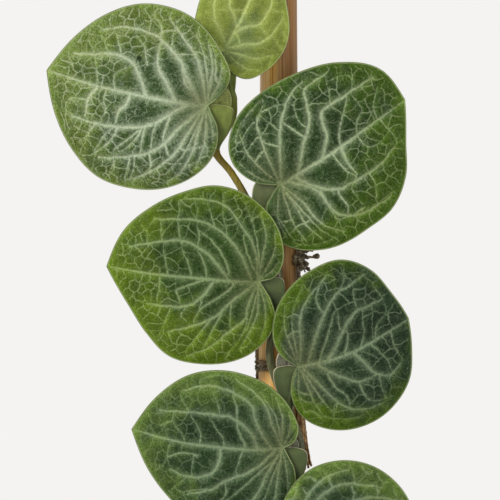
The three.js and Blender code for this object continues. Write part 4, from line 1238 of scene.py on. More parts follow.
# %% Leaf colours
# For each finish: the cells' colour inside and near the margin, and the veins' there.
LEAF_FINISHES = {
    "old": leaf_finish("leaf_old", (0.018, 0.040, 0.009), (0.060, 0.100, 0.012), (0.28, 0.36, 0.19),
                       (0.28, 0.36, 0.13), haze=0.26, strength=0.70),
    "mid": leaf_finish("leaf_mid_green", (0.016, 0.037, 0.010), (0.076, 0.124, 0.020), (0.26, 0.34, 0.19),
                       (0.31, 0.39, 0.15), haze=0.30, strength=0.70, thin=0.28, mottle=1.1),
    "blue": leaf_finish("leaf_blue_green", (0.013, 0.029, 0.010), (0.046, 0.086, 0.002), (0.25, 0.32, 0.18),
                        (0.24, 0.31, 0.10), haze=0.28, strength=0.64, thin=0.40, mottle=1.2),
    "bright": leaf_finish("leaf_bright_edge", (0.020, 0.046, 0.006), (0.076, 0.126, 0.004),
                          (0.28, 0.36, 0.17), (0.34, 0.42, 0.14), haze=0.25, strength=0.72, thin=0.48),
    "veined": leaf_finish("leaf_broad_veins", (0.018, 0.042, 0.008), (0.046, 0.092, 0.004),
                          (0.40, 0.48, 0.28), (0.34, 0.42, 0.16), haze=0.32, strength=0.78, thin=0.42,
                          second=1.0, mottle=1.15),
    "silver": leaf_finish("leaf_silver", (0.037, 0.072, 0.019), (0.098, 0.144, 0.021), (0.47, 0.54, 0.36),
                          (0.45, 0.50, 0.28), haze=0.54, strength=0.76, thin=0.52, net=0.24, second=1.0,
                          mottle=1.15, scar=(30.7, -12.9)),
    "young": leaf_finish("leaf_young", (0.080, 0.118, 0.032), (0.185, 0.230, 0.036), (0.37, 0.45, 0.19),
                         (0.48, 0.54, 0.18), haze=0.34, strength=0.74, thin=0.16, net=0.12, second=0.5,
                         mottle=0.5, sinus=(0.42, 0.48, 0.16)),
}
LEAF_BACK = leaf_back_finish("leaf_back", (0.155, 0.205, 0.085))
YOUNG_BACK = leaf_back_finish("leaf_young_back", (0.24, 0.31, 0.09))
STALKS = {
    "plain": stalk_finish("stalk", (0.078, 0.108, 0.030), (0.165, 0.165, 0.105), (0.52, 0.44, 0.30)),
    # The pale stalk is the plain one made lighter, painted as lit, for the ninth leaf's ears.
    "pale": stalk_finish("stalk_painted_lit", (0.135, 0.165, 0.060), (0.19, 0.19, 0.12), (0.48, 0.46, 0.30)),
    "young": stalk_finish("stalk_young", (0.195, 0.245, 0.042), (0.27, 0.31, 0.07), (0.46, 0.48, 0.22)),
}
print("leaf finishes:", len(LEAF_FINISHES) + len(STALKS) + 2)

# %% [markdown]
# ## The stem's path
#
# The stem climbs the front of the cane in a slight zigzag, a leaf at each turn, and leaves the cane
# near the top. Leaf stalks start from its surface, so its path and thickness come before the leaves.

# %% The stem's path
# Points of the stem's middle: x, the distance before the cane's axis, and z.
STEM_POINTS = [
    (2.6, 11.2, 72), (2.8, 11.2, 98), (3.2, 11.2, 105.5), (4.8, 11.1, 129), (2.2, 11.1, 142), (3.2, 11, 156),
    (6, 11, 171), (5.2, 11, 187), (1.4, 10.9, 203), (3.6, 10.9, 218.5), (7.6, 10.9, 236), (5, 10.8, 252),
    (8.6, 10.7, 271), (3.6, 10.6, 286), (-3.8, 10.5, 308), (-0.8, 10.4, 322.8), (0.4, 10.3, 337),
    (-2.5, 10.2, 349), (-8, 10, 359.6), (-13.6, 9.8, 372), (-19, 9.6, 381), (-25.4, 9.5, 390),
    (-21.6, 9.3, 397), (-18.2, 9.3, 404), (-18.4, 9.3, 411), (-19.6, 9.4, 416),
]
STEM_FOOT_R = 2.1
STEM_TIP_R = 1.35
NODE_SWELL = 0.35


def stem_depth(z):
    return float(np.interp(z, [p[2] for p in STEM_POINTS], [p[1] for p in STEM_POINTS]))


def stem_radius(z):
    share = np.clip((z - STEM_POINTS[0][2]) / (STEM_POINTS[-1][2] - STEM_POINTS[0][2]), 0, 1)
    swelling = sum(NODE_SWELL * np.exp(-(((z - leaf["node"][1]) / 2.5) ** 2)) for leaf in LEAVES)
    return STEM_FOOT_R + (STEM_TIP_R - STEM_FOOT_R) * share + swelling


# %% [markdown]
# ## All the leaves
#
# Each leaf leans a little so that its upper margin comes forward, turns to its own heading, and
# stands with its sinus in front of the stem. The leaves that face the camera get the finest mesh.

# %% Growing the leaves
# In mm: the clearance between pieces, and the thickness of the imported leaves' ears.
CLEAR = 0.3
CAD_EAR = 0.9
# For each leaf its finish, the ways in which its yellower zone is widest (degrees from the tip), and
# that zone's least and greatest width as shares of the reach.
LOOKS = [
    ("old", (60,), 0.15, 0.40), ("bright", (80,), 0.12, 0.42), ("old", (-50,), 0.1, 0.4),
    ("bright", (80,), 0.1, 0.42), ("mid", (80,), 0.05, 0.25), ("mid", (-100,), 0.10, 0.36),
    ("blue", (102, -102), -0.26, 0.46), ("bright", (80,), 0.12, 0.44), ("veined", (-60,), 0.0, 0.40),
    ("silver", (-40,), 0.05, 0.34), ("young", (100,), 0.45, 1.7),
]
# The spacing of the blade's points in mm, fine from the sixth leaf up, where the camera looks.
FINE_STEP, PLAIN_STEP = 0.46, 0.72
FIRST_FINE = 6
# The finishes' textures are read this far apart from leaf to leaf, so that no two are alike.
MARK_SHIFT = 31.0


def stand_leaf(leaf):
    """The matrix that takes the blade's own millimetres to the plant's."""
    x, z = leaf["sinus"]
    lean = Matrix.Rotation(math.radians(90 + LEAN_DEGREES), 4, "X")
    turn = Matrix.Rotation(math.radians(leaf["heading"]), 4, "Z")
    return Matrix.Translation((x, -leaf.get("depth", SINUS_DEPTH), z)) @ lean @ turn


def freshness(outline, points, look):
    """Above 0 where the blade is yellower: a zone along the margin, wider towards one side."""
    _, ways, least, most = look
    share, _ = outline.place(points[:, :2])
    turn = np.degrees(np.arctan2(points[:, 1], points[:, 0]))
    toward = np.max([np.cos(np.radians(turn - way)) for way in ways], axis=0)
    width = least + (most - least) * (0.5 + 0.5 * toward) ** (1 + len(ways))
    return share - 1 + width


for number, leaf in enumerate(LEAVES, start=1):
    name = f"leaf_{number:02d}"
    outline = Outline(leaf["shape"], leaf.get("size", 1.0), seed=number)
    step = FINE_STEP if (number >= FIRST_FINE) else PLAIN_STEP
    points, faces, back, marks, soft = grow_blade(outline, step, seed=20 + number)
    base = len(points)

    # The stalk starts at its node, just in front of the stem.
    place = stand_leaf(leaf)
    x, z = leaf["node"]
    node_front = stem_depth(z) + float(stem_radius(z)) + CLEAR + CAD_EAR * 1.5
    node = np.array(place.inverted() @ Vector((x, -node_front, z)))
    stalk_points, stalk_faces, stalk_marks = grow_stalk(node, leaf.get("wing", 1.0), leaf.get("behind", 1.0))
    everything = np.vstack([points, stalk_points])
    faces += [tuple(base + i for i in face) for face in stalk_faces]

    young = leaf["shape"] == "young"
    look = LOOKS[number - 1]
    finishes = [LEAF_FINISHES[look[0]], YOUNG_BACK if young else LEAF_BACK]
    finishes.append(STALKS[leaf.get("stalk", "plain")])
    finish_of = np.concatenate([back, np.full(len(stalk_faces), 2)])
    world = everything @ np.array(place)[:3, :3].T + np.array(place.translation)
    piece = make_piece(name + "_blade", world, faces, finishes, name, finish_of)

    # The marks: the veins, the place on the blade, and the haze, the yellower zone and the thin rank.
    zones = np.zeros((len(everything), 3))
    zones[:base] = np.column_stack([soft[:, 0], freshness(outline, points, look), soft[:, 1]])
    write_marks(piece, "veins", np.vstack([marks, stalk_marks]))
    write_marks(piece, "flat", everything + np.array([0, 0, MARK_SHIFT * number]))
    write_marks(piece, "zones", zones)
    print(name, "points", len(everything), "faces", len(faces))

# %% [markdown]
# ## The stem
#
# The stem is green and smooth, yellower where it is young and duller and browner low down, with
# faint rings where old bracts sat. Its mesh is a tube whose radius swells at every node.

# %% The stem
STEM_SIDES = 20
stem_path = rounded_path([(x, -depth, z) for x, depth, z in STEM_POINTS], 0.8)
stem_r = np.array([float(stem_radius(z)) for z in stem_path[:, 2]])
stem_r *= 1 + 0.02 * np.sin(stem_path[:, 2] * 1.9) * np.sin(stem_path[:, 2] * 0.37)


def stem_ripple(share, turns):
    return 1 + 0.03 * np.cos(3 * turns + 5 * share) + 0.015 * np.cos(7 * turns - 9 * share)


def stem_finish():
    b = Bench("stem", roughness=0.42, specular=0.45)
    height = b.axes(b.place())["Z"]
    streak = b.fibres(900.0, 120.0)
    spots = b.span(b.noise(b.place(), 700.0, 4.0, 0.7), 0.55, 0.7)
    old = b.ramp(streak, (0.25, (0.060, 0.062, 0.020)), (0.6, (0.125, 0.130, 0.050)),
                 (0.85, (0.24, 0.22, 0.11)))
    new = b.ramp(streak, (0.25, (0.21, 0.135, 0.008)), (0.6, (0.37, 0.265, 0.020)),
                 (0.85, (0.47, 0.37, 0.05)))
    new = b.mix(b.span(height, 0.388, 0.402), new, (0.29, 0.33, 0.07))
    colour = b.mix(b.span(height, 0.365, 0.385), old, new)
    colour = b.mix(b.maths("MULTIPLY", spots, 0.55), colour, (0.28, 0.23, 0.14))
    return b.finish(colour, streak, 0.12)


stem_points, stem_faces = tube(stem_path, stem_r, STEM_SIDES, stem_ripple)
make_piece("stem_tube", stem_points, stem_faces, [stem_finish()], "stem")
print("stem rings:", len(stem_path))

# %% [markdown]
# ## The rolled leaf
#
# The next leaf stands beyond the youngest one, still rolled into a spear: a tapering tube with the
# free margin winding round it as a low ridge.

# %% The rolled leaf
SPEAR_POINTS = [(-19.7, -9.4, 416.5), (-18, -8.9, 432), (-14.6, -9.2, 453), (-13, -9.4, 474)]
spear_path = rounded_path(SPEAR_POINTS, 0.5)
spear_share = np.linspace(0, 1, len(spear_path))
spear_r = 0.9 + 1.5 * np.sin(math.pi * np.minimum(1, spear_share * 0.96)) ** 0.8
spear_r[-8:] *= np.linspace(1, 0.25, 8)


def rolled_margin(share, turns):
    winding = (turns - 2.6 - 3.4 * share) % (2 * math.pi)
    return 1 + 0.13 * np.exp(-((winding / 0.35) ** 2)) - 0.04 * winding / (2 * math.pi)


def spear_finish():
    b = Bench("rolled_leaf", roughness=0.42, specular=0.45)
    streak = b.fibres(1200.0, 160.0)
    colour = b.ramp(streak, (0.3, (0.17, 0.24, 0.05)), (0.7, (0.27, 0.35, 0.09)))
    colour = b.mix(b.span(b.axes(b.place())["Z"], 0.462, 0.474, 0.0, 0.5), colour, (0.22, 0.16, 0.07))
    return b.finish(colour, streak, 0.1)


spear_points, spear_faces = tube(spear_path, spear_r, 28, rolled_margin)
make_piece("rolled_leaf_spear", spear_points, spear_faces, [spear_finish()], "rolled_leaf")

# %% [markdown]
# ## The cane
#
# A bamboo cane is a tube with a ring at every joint, and its skin is drawn out in long fibres, tan
# with browner streaks. Turning a profile round the axis gives the form. The fibres are a noise
# squeezed hard across the cane and stretched along it, used for colour and for a fine bump.
# The light from the left and the shade towards the right are painted into the skin's colour too.

# %% The cane
CANE_FOOT, CANE_TOP = 12.0, 500.0
CANE_FOOT_R, CANE_TOP_R, CANE_PITH_R = 8.7, 7.0, 2.6
CANE_RINGS = (62, 225, 388)
CANE_SIDES = 72


def cane_radius(z):
    share = np.clip(z / CANE_TOP, 0, 1)
    r = CANE_FOOT_R - (CANE_FOOT_R - CANE_TOP_R) * share**2.2
    for ring in CANE_RINGS:
        off = z - ring
        r = r + 0.45 * np.exp(-(((off + 1.4) / 1.3) ** 2)) + 0.5 * np.exp(-(((off - 1.6) / 1.5) ** 2))
        r = r - 0.5 * np.exp(-((off / 0.6) ** 2))
    return r


def turned(profile, sides, ripple=None):
    """A profile of (radius, height) turned round the axis. It starts and ends on the axis."""
    turns = np.linspace(0, 2 * math.pi, sides, endpoint=False)
    points = [(0, 0, profile[0][1])]
    for r, z in profile[1:-1]:
        scale = 1.0 if ripple is None else ripple(turns, z)
        points += list(zip(r * np.cos(turns) * scale, r * np.sin(turns) * scale, np.full(sides, z)))
    points.append((0, 0, profile[-1][1]))
    return np.array(points, float), ring_faces(1, len(profile) - 2, sides, (0, len(points) - 1))


def cane_ripple(turns, z):
    grooves = 0.008 * np.sin(11 * turns + 0.3) + 0.006 * np.sin(23 * turns + 1.7) + 0.004 * np.sin(37 * turns)
    return 1 + grooves * (0.7 + 0.3 * math.sin(z * 0.05)) + 0.006 * np.cos(turns - 0.02 * z)


def cane_finish():
    b = Bench("cane", roughness=0.42, specular=0.4)
    across, _, height = b.axes(b.place())
    broad = b.fibres(330.0, 7.0, 0.6)
    fibre = b.fibres(1100.0, 9.0, 0.65)
    streaks = b.maths("MULTIPLY_ADD", broad, 0.55, b.maths("MULTIPLY", fibre, 0.45))
    # The light ramp is the painted lit side, the brown one the cane's brown deepened by painted shade.
    light = b.ramp(streaks, (0.38, (0.58, 0.25, 0.045)), (0.5, (0.92, 0.50, 0.14)),
                   (0.62, (1.0, 0.70, 0.33)))
    brown = b.ramp(streaks, (0.38, (0.13, 0.048, 0.006)), (0.5, (0.34, 0.145, 0.030)),
                   (0.62, (0.60, 0.32, 0.10)))

    # Painted light across the skin: light tan on the lit left, brown in painted shade to the right.
    sway = b.maths("MULTIPLY_ADD", broad, 0.005, b.maths("ADD", across, -0.0025))
    colour = b.mix(b.span(sway, -0.0016, 0.0004), light, brown)
    # A painted cream highlight along the lit left edge, stronger higher up the cane.
    painted_highlight_cream = b.span(sway, -0.0050, -0.0078, 0.0, 0.6)
    painted_highlight_cream = b.maths("MULTIPLY", painted_highlight_cream, b.span(height, 0.31, 0.41, 0.25, 1.0))
    colour = b.mix(painted_highlight_cream, colour, (1.0, 0.78, 0.50))
    # The right edge is painted a lighter brown again, a painted fill light.
    colour = b.mix(b.span(sway, 0.0035, 0.0075, 0.0, 0.35), colour, (0.56, 0.34, 0.18))
    grime = b.span(b.noise(b.place(), 90.0, 4.0, 0.7), 0.58, 0.78, 0.0, 0.25)
    colour = b.mix(grime, colour, (0.16, 0.085, 0.03))
    for ring in CANE_RINGS:
        dark = b.span(b.maths("ABSOLUTE", b.maths("SUBTRACT", height, ring * MM)), 0.0004, 0.0016, 0.7, 0.0)
        colour = b.mix(dark, colour, (0.07, 0.035, 0.015))
    return b.finish(colour, fibre, 0.18)


skin_z = [np.linspace(CANE_FOOT + 1, CANE_TOP - 1.2, 90)]
skin_z += [np.linspace(ring - 6, ring + 6, 40) for ring in CANE_RINGS]
cane_profile = [(0, CANE_FOOT), (CANE_FOOT_R - 0.8, CANE_FOOT)]
cane_profile += [(float(cane_radius(z)), float(z)) for z in np.unique(np.concatenate(skin_z))]
cane_profile += [
    (CANE_TOP_R - 0.15, CANE_TOP - 0.5), (CANE_TOP_R - 0.55, CANE_TOP - 0.1), (CANE_TOP_R - 0.9, CANE_TOP),
    (CANE_PITH_R + 0.2, CANE_TOP), (CANE_PITH_R, CANE_TOP - 0.4), (CANE_PITH_R - 0.3, CANE_TOP - 7),
    (0, CANE_TOP - 7),
]
cane_points, cane_faces = turned(cane_profile, CANE_SIDES, cane_ripple)
make_piece("cane_skin", cane_points, cane_faces, [cane_finish()], "cane")
print("cane rings:", len(cane_profile))

# %% [markdown]
# ## Aerial roots
#
# From its nodes the stem sends out thin brown roots that wrap round the cane. Some run down beside
# it, and one bunch ends in a curled tuft with crumbs of dried soil. Each root is a thin tube with an
# uneven skin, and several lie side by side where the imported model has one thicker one.

# %% Aerial roots
# For each bunch its height, the angles from the front at which its sweep ends and starts, how far
# its strands hang, and where they differ how far they lean out and fan, and how many there are.
ROOT_BUNCHES = [
    dict(z=164, sweep=(-104, -18), hang=9),
    dict(z=226, sweep=(-96, -4), hang=8),
    dict(z=275, sweep=(84, 58), hang=14, lean=4.0, fan=26, strands=9),
    dict(z=303.5, sweep=(-112, -24), hang=8),
    dict(z=346, sweep=(62, 40), hang=9, tuft=True),
]
KNOB_REACH = np.array([7.4, -1.0, 0.6])
SWEEP_ROOTS, BUNCH_CRUMBS, TUFT_ROOTS = 5, 9, 22


def round_cane(degrees, z, clear):
    """A point some way clear of the cane's skin, at an angle from the front."""
    turn = math.radians(degrees)
    r = float(cane_radius(z)) + clear
    return np.array([r * math.sin(turn), -r * math.cos(turn), z])


def one_root(corners, thick, draw, sides=9):
    """A thin uneven root through the corners."""
    path = rounded_path(corners, 0.35)
    shares = np.linspace(0, 1, len(path))
    a, b, c = (draw.uniform(0, 6.3) for _ in range(3))
    path[:, 2] += 0.18 * np.sin(21 * shares + a) * np.sin(math.pi * shares)
    radii = thick * (1 + 0.13 * np.sin(37 * shares + b) + 0.1 * np.sin(61 * shares + c))
    radii *= 1 - 0.25 * shares
    return tube(path, radii, sides, lambda share, turns: 1 + 0.1 * np.cos(2 * turns + 40 * share + a))


def crumb(centre, radius, draw):
    """A rough lump: a sphere of rings whose reach wanders."""
    rings, sides = 7, 11
    points = [(0, 0, radius)]
    for i in range(1, rings):
        for k in range(sides):
            up, turn = math.pi * i / rings, 2 * math.pi * k / sides
            r = radius * draw.uniform(0.72, 1.18)
            aside = r * math.sin(up)
            points.append((aside * math.cos(turn), aside * math.sin(turn), r * math.cos(up)))
    points.append((0, 0, -radius))
    # These rings run downwards, so the faces are turned round.
    faces = [face[:1] + face[:0:-1] for face in ring_faces(1, rings - 1, sides, (0, len(points) - 1))]
    return np.array(points) + centre, faces


def root_bunch(bunch, seed):
    """Roots that sweep round the cane, strands that hang from their end, and crumbs between them."""
    draw = random.Random(seed)
    far, near = bunch["sweep"]
    shapes = []
    for i in range(SWEEP_ROOTS):
        offset = -1.7 + 0.85 * i
        thick = draw.uniform(0.32, 0.5)
        clear = thick + CLEAR + (0.7 if i % 2 else 0.15)
        turns = [near + (far * draw.uniform(0.93, 1.0) - near) * s for s in (0, 0.25, 0.5, 0.75, 1)]
        corners = [round_cane(t, bunch["z"] + offset + draw.uniform(-0.7, 0.7), clear) for t in turns]
        shapes.append(one_root(corners, thick, draw))
    strands = bunch.get("strands", 6)
    for i in range(strands):
        corners = []
        across = i / (strands - 1)
        thick = draw.uniform(0.34, 0.6) * (1.3 if "lean" in bunch else 1)
        for k, share in enumerate((1, 0.5, 0, -0.5, -1)):
            lean = bunch.get("lean", 0) * across * ((1 - share) / 2) ** 1.2
            turn = far - bunch.get("fan", 0) * (1 - across) + 3 * math.sin(k * 1.7) + draw.uniform(-4, 4)
            z = bunch["z"] + share * bunch["hang"] * draw.uniform(0.8, 1.0)
            corners.append(round_cane(turn, z, thick + CLEAR + 0.1 + lean + (0.5 if i % 2 else 0)))
        shapes.append(one_root(corners, thick, draw))
    for i in range(BUNCH_CRUMBS):
        spot = round_cane(far + (near - far) * draw.random(), bunch["z"] + draw.uniform(-1.5, 1.5), 1.2)
        shapes.append(crumb(spot, draw.uniform(0.3, 0.6), draw))
    if bunch.get("tuft"):
        shapes += root_tuft(bunch, draw)
    return gather(shapes)


def root_tuft(bunch, draw):
    """Short crooked roots that stick out beside the cane, with crumbs where they end and cross."""
    shapes = []
    for i in range(TUFT_ROOTS):
        start = round_cane(bunch["sweep"][0] + draw.uniform(-8, 6), bunch["z"] - 4.5 + 8 * draw.random(), 1.1)
        rise = (i % 6 - 2.5) * 0.9 + draw.uniform(-1.2, 1.2)
        reach = draw.uniform(1.6, 6.2) * (1 if i % 4 == 0 else 0.62)
        bend = np.array([reach * 0.55, draw.uniform(-1.6, 0.2), rise * 0.1])
        end = start + (reach, draw.uniform(-2.0, 0.3), rise)
        shapes.append(one_root([start, start + bend, end], draw.uniform(0.28, 0.5), draw, 7))
        shapes.append(crumb(start + bend * draw.uniform(0.3, 1.2), draw.uniform(0.45, 0.95), draw))
        if i % 2 == 0:
            shapes.append(crumb(end, draw.uniform(0.45, 0.9), draw))
    start = round_cane(bunch["sweep"][0], bunch["z"] + 1, 1.1)
    knob = start + KNOB_REACH
    shapes.append(one_root([start, start + KNOB_REACH * 0.5 + (0, 0, -0.4), knob], 0.6, draw, 9))
    shapes += [crumb(knob, 1.15, draw), crumb(knob - (0.9, 0, 0.2), 0.9, draw)]
    return shapes


def root_finish(name, dark, brown, pale):
    b = Bench(name, roughness=0.85, specular=0.25)
    grain = b.noise(b.place(), 2200.0, 3.0, 0.7)
    colour = b.ramp(b.noise(b.place(), 420.0, 3.0, 0.6), (0.3, dark), (0.5, brown), (0.66, pale))
    return b.finish(b.times(colour, b.span(grain, 0.3, 0.7, 0.65, 1.3)), grain, 0.3)


ROOTS = root_finish("aerial_roots", (0.11, 0.076, 0.042), (0.26, 0.195, 0.125), (0.50, 0.42, 0.31))
DRY_ROOTS = root_finish("dry_roots", (0.17, 0.085, 0.030), (0.42, 0.24, 0.11), (0.80, 0.50, 0.26))
for number, bunch in enumerate(ROOT_BUNCHES, start=1):
    name = f"aerial_roots_{number}"
    points, faces = root_bunch(bunch, seed=70 + number)
    make_piece(name + "_strands", points, faces, [DRY_ROOTS if "lean" in bunch else ROOTS], name)
    print("root bunch", number, "faces", len(faces))

# %% [markdown]
# ## The pot
#
# The photograph's edge cuts the pot off, and the plant's name gives one, so this is a plain nursery
# pot: a moulded bucket in terracotta-coloured plastic with a stepped rim, a slightly rounded foot
# and drain holes. A turned profile with small radii at each corner catches the light as moulded
# plastic does. The holes are cut with a boolean, and the cutters are deleted again.

# %% The pot
POT_HEIGHT, POT_RIM_H, POT_WALL = 112.0, 15.0, 2.0
POT_BASE_R, POT_TOP_R, POT_RIM_R = 45.0, 61.0, 64.0
POT_SIDES = 144
DRAIN_R, DRAIN_RING_R, DRAIN_COUNT = 4.0, 33.0, 6
DRAIN_SIDES = 32


def softened(corners, radius, steps=5):
    """A profile whose inner corners are rounded off with the given radius."""
    out = [corners[0]]
    for before, here, after in zip(corners, corners[1:], corners[2:]):
        before, here, after = (np.array(p, float) for p in (before, here, after))
        cut = min(radius, np.linalg.norm(before - here) * 0.45, np.linalg.norm(after - here) * 0.45)
        a = here + (before - here) / np.linalg.norm(before - here) * cut
        c = here + (after - here) / np.linalg.norm(after - here) * cut
        for t in np.linspace(0, 1, steps):
            out.append(tuple((1 - t) ** 2 * a + 2 * (1 - t) * t * here + t**2 * c))
    return out + [corners[-1]]


def pot_wall(z):
    return POT_BASE_R + (POT_TOP_R - POT_BASE_R) * z / (POT_HEIGHT - POT_RIM_H)


def pot_finish():
    b = Bench("pot", roughness=0.5, specular=0.45)
    where = b.place()
    cloud = b.noise(where, 28.0, 4.0, 0.6)
    colour = b.ramp(cloud, (0.3, (0.36, 0.115, 0.048)), (0.7, (0.46, 0.165, 0.075)))
    splash = b.span(b.noise(where, 160.0, 5.0, 0.7), 0.55, 0.75)
    splash = b.maths("MULTIPLY", splash, b.span(b.axes(where)["Z"], 0.0, 0.03, 0.55, 0.1))
    colour = b.mix(splash, colour, (0.16, 0.10, 0.06))
    return b.finish(colour, b.noise(where, 1500.0, 2.0), 0.06, b.span(cloud, 0.3, 0.7, 0.44, 0.58))


def drain_cutters():
    """Posts where the drain holes are to be."""
    for x, y in circle(DRAIN_COUNT, DRAIN_RING_R):
        points, faces = tube(np.linspace((x, y, -5), (x, y, 7), 3), DRAIN_R, DRAIN_SIDES)
        yield mesh_object("drain_cutter", points, faces)


step_z = POT_HEIGHT - POT_RIM_H
pot_corners = [
    (0, 0.7), (POT_BASE_R - 9, 0.7), (POT_BASE_R - 8, 0), (POT_BASE_R - 1, 0), (POT_BASE_R + 0.1, 1.6),
    (pot_wall(step_z) - 0.5, step_z), (POT_RIM_R - 1, step_z), (POT_RIM_R + 0.4, POT_HEIGHT - 0.6),
    (POT_RIM_R - 0.3, POT_HEIGHT), (POT_RIM_R - POT_WALL - 0.2, POT_HEIGHT),
    (POT_RIM_R - POT_WALL - 1, step_z + 1.6), (pot_wall(step_z) - POT_WALL - 0.5, step_z - 1),
    (POT_BASE_R - POT_WALL, POT_WALL + 1), (POT_BASE_R - POT_WALL - 2, POT_WALL), (0, POT_WALL),
]
pot_points, pot_faces = turned(softened(pot_corners, 1.4), POT_SIDES)
pot = make_piece("pot_moulded", pot_points, pot_faces, [pot_finish()], "pot")
for cutter in drain_cutters():
    cut = pot.modifiers.new("drain", "BOOLEAN")
    cut.object, cut.solver = cutter, "EXACT"
    bpy.context.view_layer.update()
    done = bpy.data.meshes.new_from_object(pot.evaluated_get(bpy.context.evaluated_depsgraph_get()))
    pot.modifiers.clear()
    pot.data = done
    bpy.data.objects.remove(cutter)
print("pot faces:", len(pot.data.polygons))

# %% [markdown]
# ## The soil
#
# An aroid grows in an open mix of peat and bark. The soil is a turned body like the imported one, with
# a finely lumped crown, and on it lie loose crumbs and chips in several sizes, sunk a little so that
# none hangs in the air. They are one piece with the soil.

# %% The soil
SOIL_BOTTOM, SOIL_TOP, SOIL_BUMP = 6.0, 99.0, 2.2
SOIL_INSET, HOLES_REACH = 0.5, 16.0
SOIL_CRUMBS = 520
# Crumbs keep this far from the axes of the cane and the stem, in mm, and by their own size more.
CANE_CLEAR, STEM_CLEAR = 9.6, 3.4
CANE_HOLE_R = CANE_FOOT_R + 0.5
STEM_HOLE_R = STEM_FOOT_R * 1.3 + CLEAR
STEM_AT_SOIL = np.array([2.8, -11.2])


def soil_height(x, y):
    lump = np.sin(x * 0.31 + 1) * np.cos(y * 0.27) + 0.6 * np.sin(x * 0.83 - y * 0.71)
    fine = 0.5 * np.sin(x * 1.9 + 2 * np.sin(y * 0.8)) * np.sin(y * 2.1 + 1.3 * np.sin(x * 0.9))
    return SOIL_TOP + SOIL_BUMP * 0.5 * lump + 0.6 * fine


def soil_wall(z):
    return pot_wall(z) - POT_WALL - 0.6 - CLEAR


def soil_crown():
    """The crown as a disc of fine rings, with the cane's and the stem's holes left open."""
    edge = soil_wall(SOIL_TOP) - SOIL_INSET
    holes = [circle(60, CANE_HOLE_R), STEM_AT_SOIL + circle(28, STEM_HOLE_R)]
    inner = honeycomb((-edge, -edge), (edge, edge), 1.3)
    far = np.hypot(*inner.T)
    from_stem = np.hypot(*(inner - STEM_AT_SOIL).T)
    inner = inner[(far < edge - 0.8) & (far > CANE_HOLE_R + 0.7) & (from_stem > STEM_HOLE_R + 0.7)]
    flat, faces = triangulated(circle(150, edge), np.vstack([*holes, inner]))
    middle = flat[faces].mean(1)
    solid = np.hypot(*middle.T) > CANE_HOLE_R - 0.05
    solid &= np.hypot(*(middle - STEM_AT_SOIL).T) > STEM_HOLE_R - 0.02
    return edge, np.column_stack([flat, soil_height(flat[:, 0], flat[:, 1])]), faces[solid].tolist()


def soil_body():
    """The crown on a tapering body, which keeps the holes straight all the way down."""
    edge, top, faces = soil_crown()
    sides = {pair for a, b, c in faces for pair in ((a, b), (b, c), (c, a))}
    border = [(a, b) for a, b in sides if (b, a) not in sides]
    base = len(top)
    low = top.copy()
    low[:, 2] = SOIL_BOTTOM
    r = np.hypot(low[:, 0], low[:, 1])
    narrower = (soil_wall(SOIL_BOTTOM) - SOIL_INSET - HOLES_REACH) / (edge - HOLES_REACH)
    outer = r > HOLES_REACH
    low[outer, :2] *= ((HOLES_REACH + (r[outer] - HOLES_REACH) * narrower) / r[outer])[:, None]
    out = [tuple(face) for face in faces]
    out += [(b, a, base + a, base + b) for a, b in sorted(border)]
    out += [(base + c, base + b, base + a) for a, b, c in faces]
    return np.vstack([top, low]), out


def soil_crumbs(draw):
    """Loose crumbs and chips on the crown, clear of the cane, the stem and the pot."""
    shapes = []
    edge = soil_wall(SOIL_TOP) - 2.6
    while len(shapes) < SOIL_CRUMBS:
        r, turn = edge * math.sqrt(draw.random()), draw.uniform(0, 2 * math.pi)
        x, y = r * math.cos(turn), r * math.sin(turn)
        size = draw.choice((0.7, 0.9, 1.2, 1.6)) * draw.uniform(0.8, 1.3)
        from_stem = math.dist((x, y), STEM_AT_SOIL)
        if math.hypot(x, y) < CANE_CLEAR + size or from_stem < STEM_CLEAR + size:
            continue
        points, faces = crumb(np.zeros(3), size, draw)
        points = points * (draw.uniform(0.9, 1.9), draw.uniform(0.8, 1.2), draw.uniform(0.45, 0.9))
        spin = draw.uniform(0, math.pi)
        spun = points[:, :2] @ np.array([[math.cos(spin), math.sin(spin)], [-math.sin(spin), math.cos(spin)]])
        points = np.column_stack([spun, points[:, 2]]) + (x, y, float(soil_height(x, y)) + size * 0.15)
        if np.hypot(points[:, 0], points[:, 1]).max() < soil_wall(SOIL_TOP) - 0.6:
            shapes.append((points, faces))
    return shapes


def soil_finish():
    b = Bench("soil", roughness=0.95, specular=0.2)
    where = b.place()
    grain = b.noise(where, 900.0, 4.0, 0.7)
    lumps = b.maths("MULTIPLY_ADD", b.cells(where, 330.0), 0.6, b.maths("MULTIPLY", grain, 0.5))
    colour = b.ramp(lumps, (0.25, (0.012, 0.007, 0.004)), (0.5, (0.038, 0.023, 0.013)),
                    (0.78, (0.115, 0.068, 0.036)))
    return b.finish(colour, grain, 0.5)


soil_points, soil_faces = gather([soil_body(), *soil_crumbs(random.Random(9))])
make_piece("soil_mix", soil_points, soil_faces, [soil_finish()], "soil")
print("soil faces:", len(soil_faces))

# %% [markdown]
# ## Floor, light and camera
#
# The photograph is a close view against a white studio sweep. A small pale floor carries the pot,
# the world behind is near white to the camera, and the light is soft: a large panel high on the
# left, a weaker one on the right. The camera stands level with the middle leaves and looks straight
# on with a long lens, so that it sees the same stretch of the plant as the photograph.

# %% The floor
FLOOR_SIDES, FLOOR_R, FLOOR_DROP = 96, 1500, 0.4
floor_points = np.column_stack([circle(FLOOR_SIDES, FLOOR_R), np.full(FLOOR_SIDES, -FLOOR_DROP)])
floor = mesh_object("floor", floor_points, [tuple(range(FLOOR_SIDES))])
paper = Bench("floor", roughness=0.8, specular=0.2)
paper_grain = paper.noise(paper.place(), 6.0)
paper_colour = paper.ramp(paper_grain, (0.3, (0.80, 0.79, 0.775)), (0.7, (0.82, 0.81, 0.795)))
floor.data.materials.append(paper.finish(paper_colour))

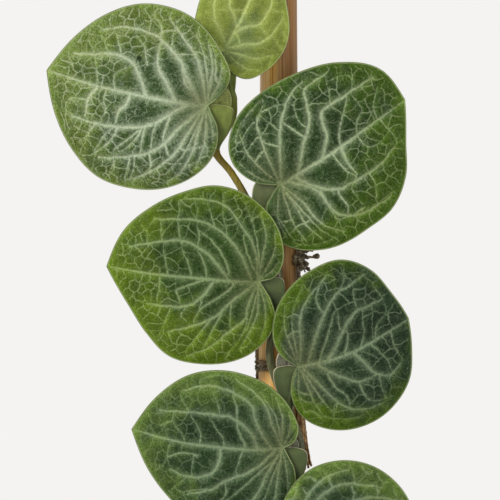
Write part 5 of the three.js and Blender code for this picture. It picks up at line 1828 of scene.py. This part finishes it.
# %% The light
BACKDROP = (0.905, 0.896, 0.880, 1)
world = bpy.data.worlds.new("studio")
bpy.context.scene.world = world
world.use_nodes = True
tree = world.node_tree
seen = tree.nodes["Background"]
seen.inputs["Color"].default_value = BACKDROP
seen.inputs["Strength"].default_value = 1.0
lighting = tree.nodes.new("ShaderNodeBackground")
lighting.inputs["Color"].default_value = (0.95, 0.97, 1.0, 1)
lighting.inputs["Strength"].default_value = 0.40
path = tree.nodes.new("ShaderNodeLightPath")
choice = tree.nodes.new("ShaderNodeMixShader")
tree.links.new(path.outputs["Is Camera Ray"], choice.inputs["Fac"])
tree.links.new(lighting.outputs[0], choice.inputs[1])
tree.links.new(seen.outputs[0], choice.inputs[2])
tree.links.new(choice.outputs[0], tree.nodes["World Output"].inputs["Surface"])


def soft_panel(name, place, aim, size, watts):
    light = bpy.data.lights.new(name, "AREA")
    light.shape, light.size, light.size_y, light.energy = "RECTANGLE", size, size, watts
    panel = bpy.data.objects.new(name, light)
    panel.location = place
    panel.rotation_euler = (Vector(aim) - Vector(place)).to_track_quat("-Z", "Y").to_euler()
    bpy.context.scene.collection.objects.link(panel)


MIDDLE = (-0.0116, -0.015, 0.35)
soft_panel("key_panel", (-1.05, -0.75, 1.2), MIDDLE, 0.7, 24)
soft_panel("fill_panel", (1.1, -1.2, 0.5), MIDDLE, 1.2, 5)
soft_panel("back_panel", (0.5, 1.4, 1.2), MIDDLE, 1.0, 8)

# %% The camera
VIEW_WIDTH = 0.2
CAMERA_AWAY = 1.8
camera_data = bpy.data.cameras.new("camera")
camera_data.sensor_width = 36
camera_data.lens = 36 * CAMERA_AWAY / VIEW_WIDTH
camera = bpy.data.objects.new("camera", camera_data)
camera.location = (MIDDLE[0], MIDDLE[1] - CAMERA_AWAY, MIDDLE[2])
camera.rotation_euler = (math.pi / 2, 0, 0)
bpy.context.scene.collection.objects.link(camera)
bpy.context.scene.camera = camera
bpy.context.scene.view_settings.view_transform = "Standard"
print("lens:", round(camera_data.lens), "mm")
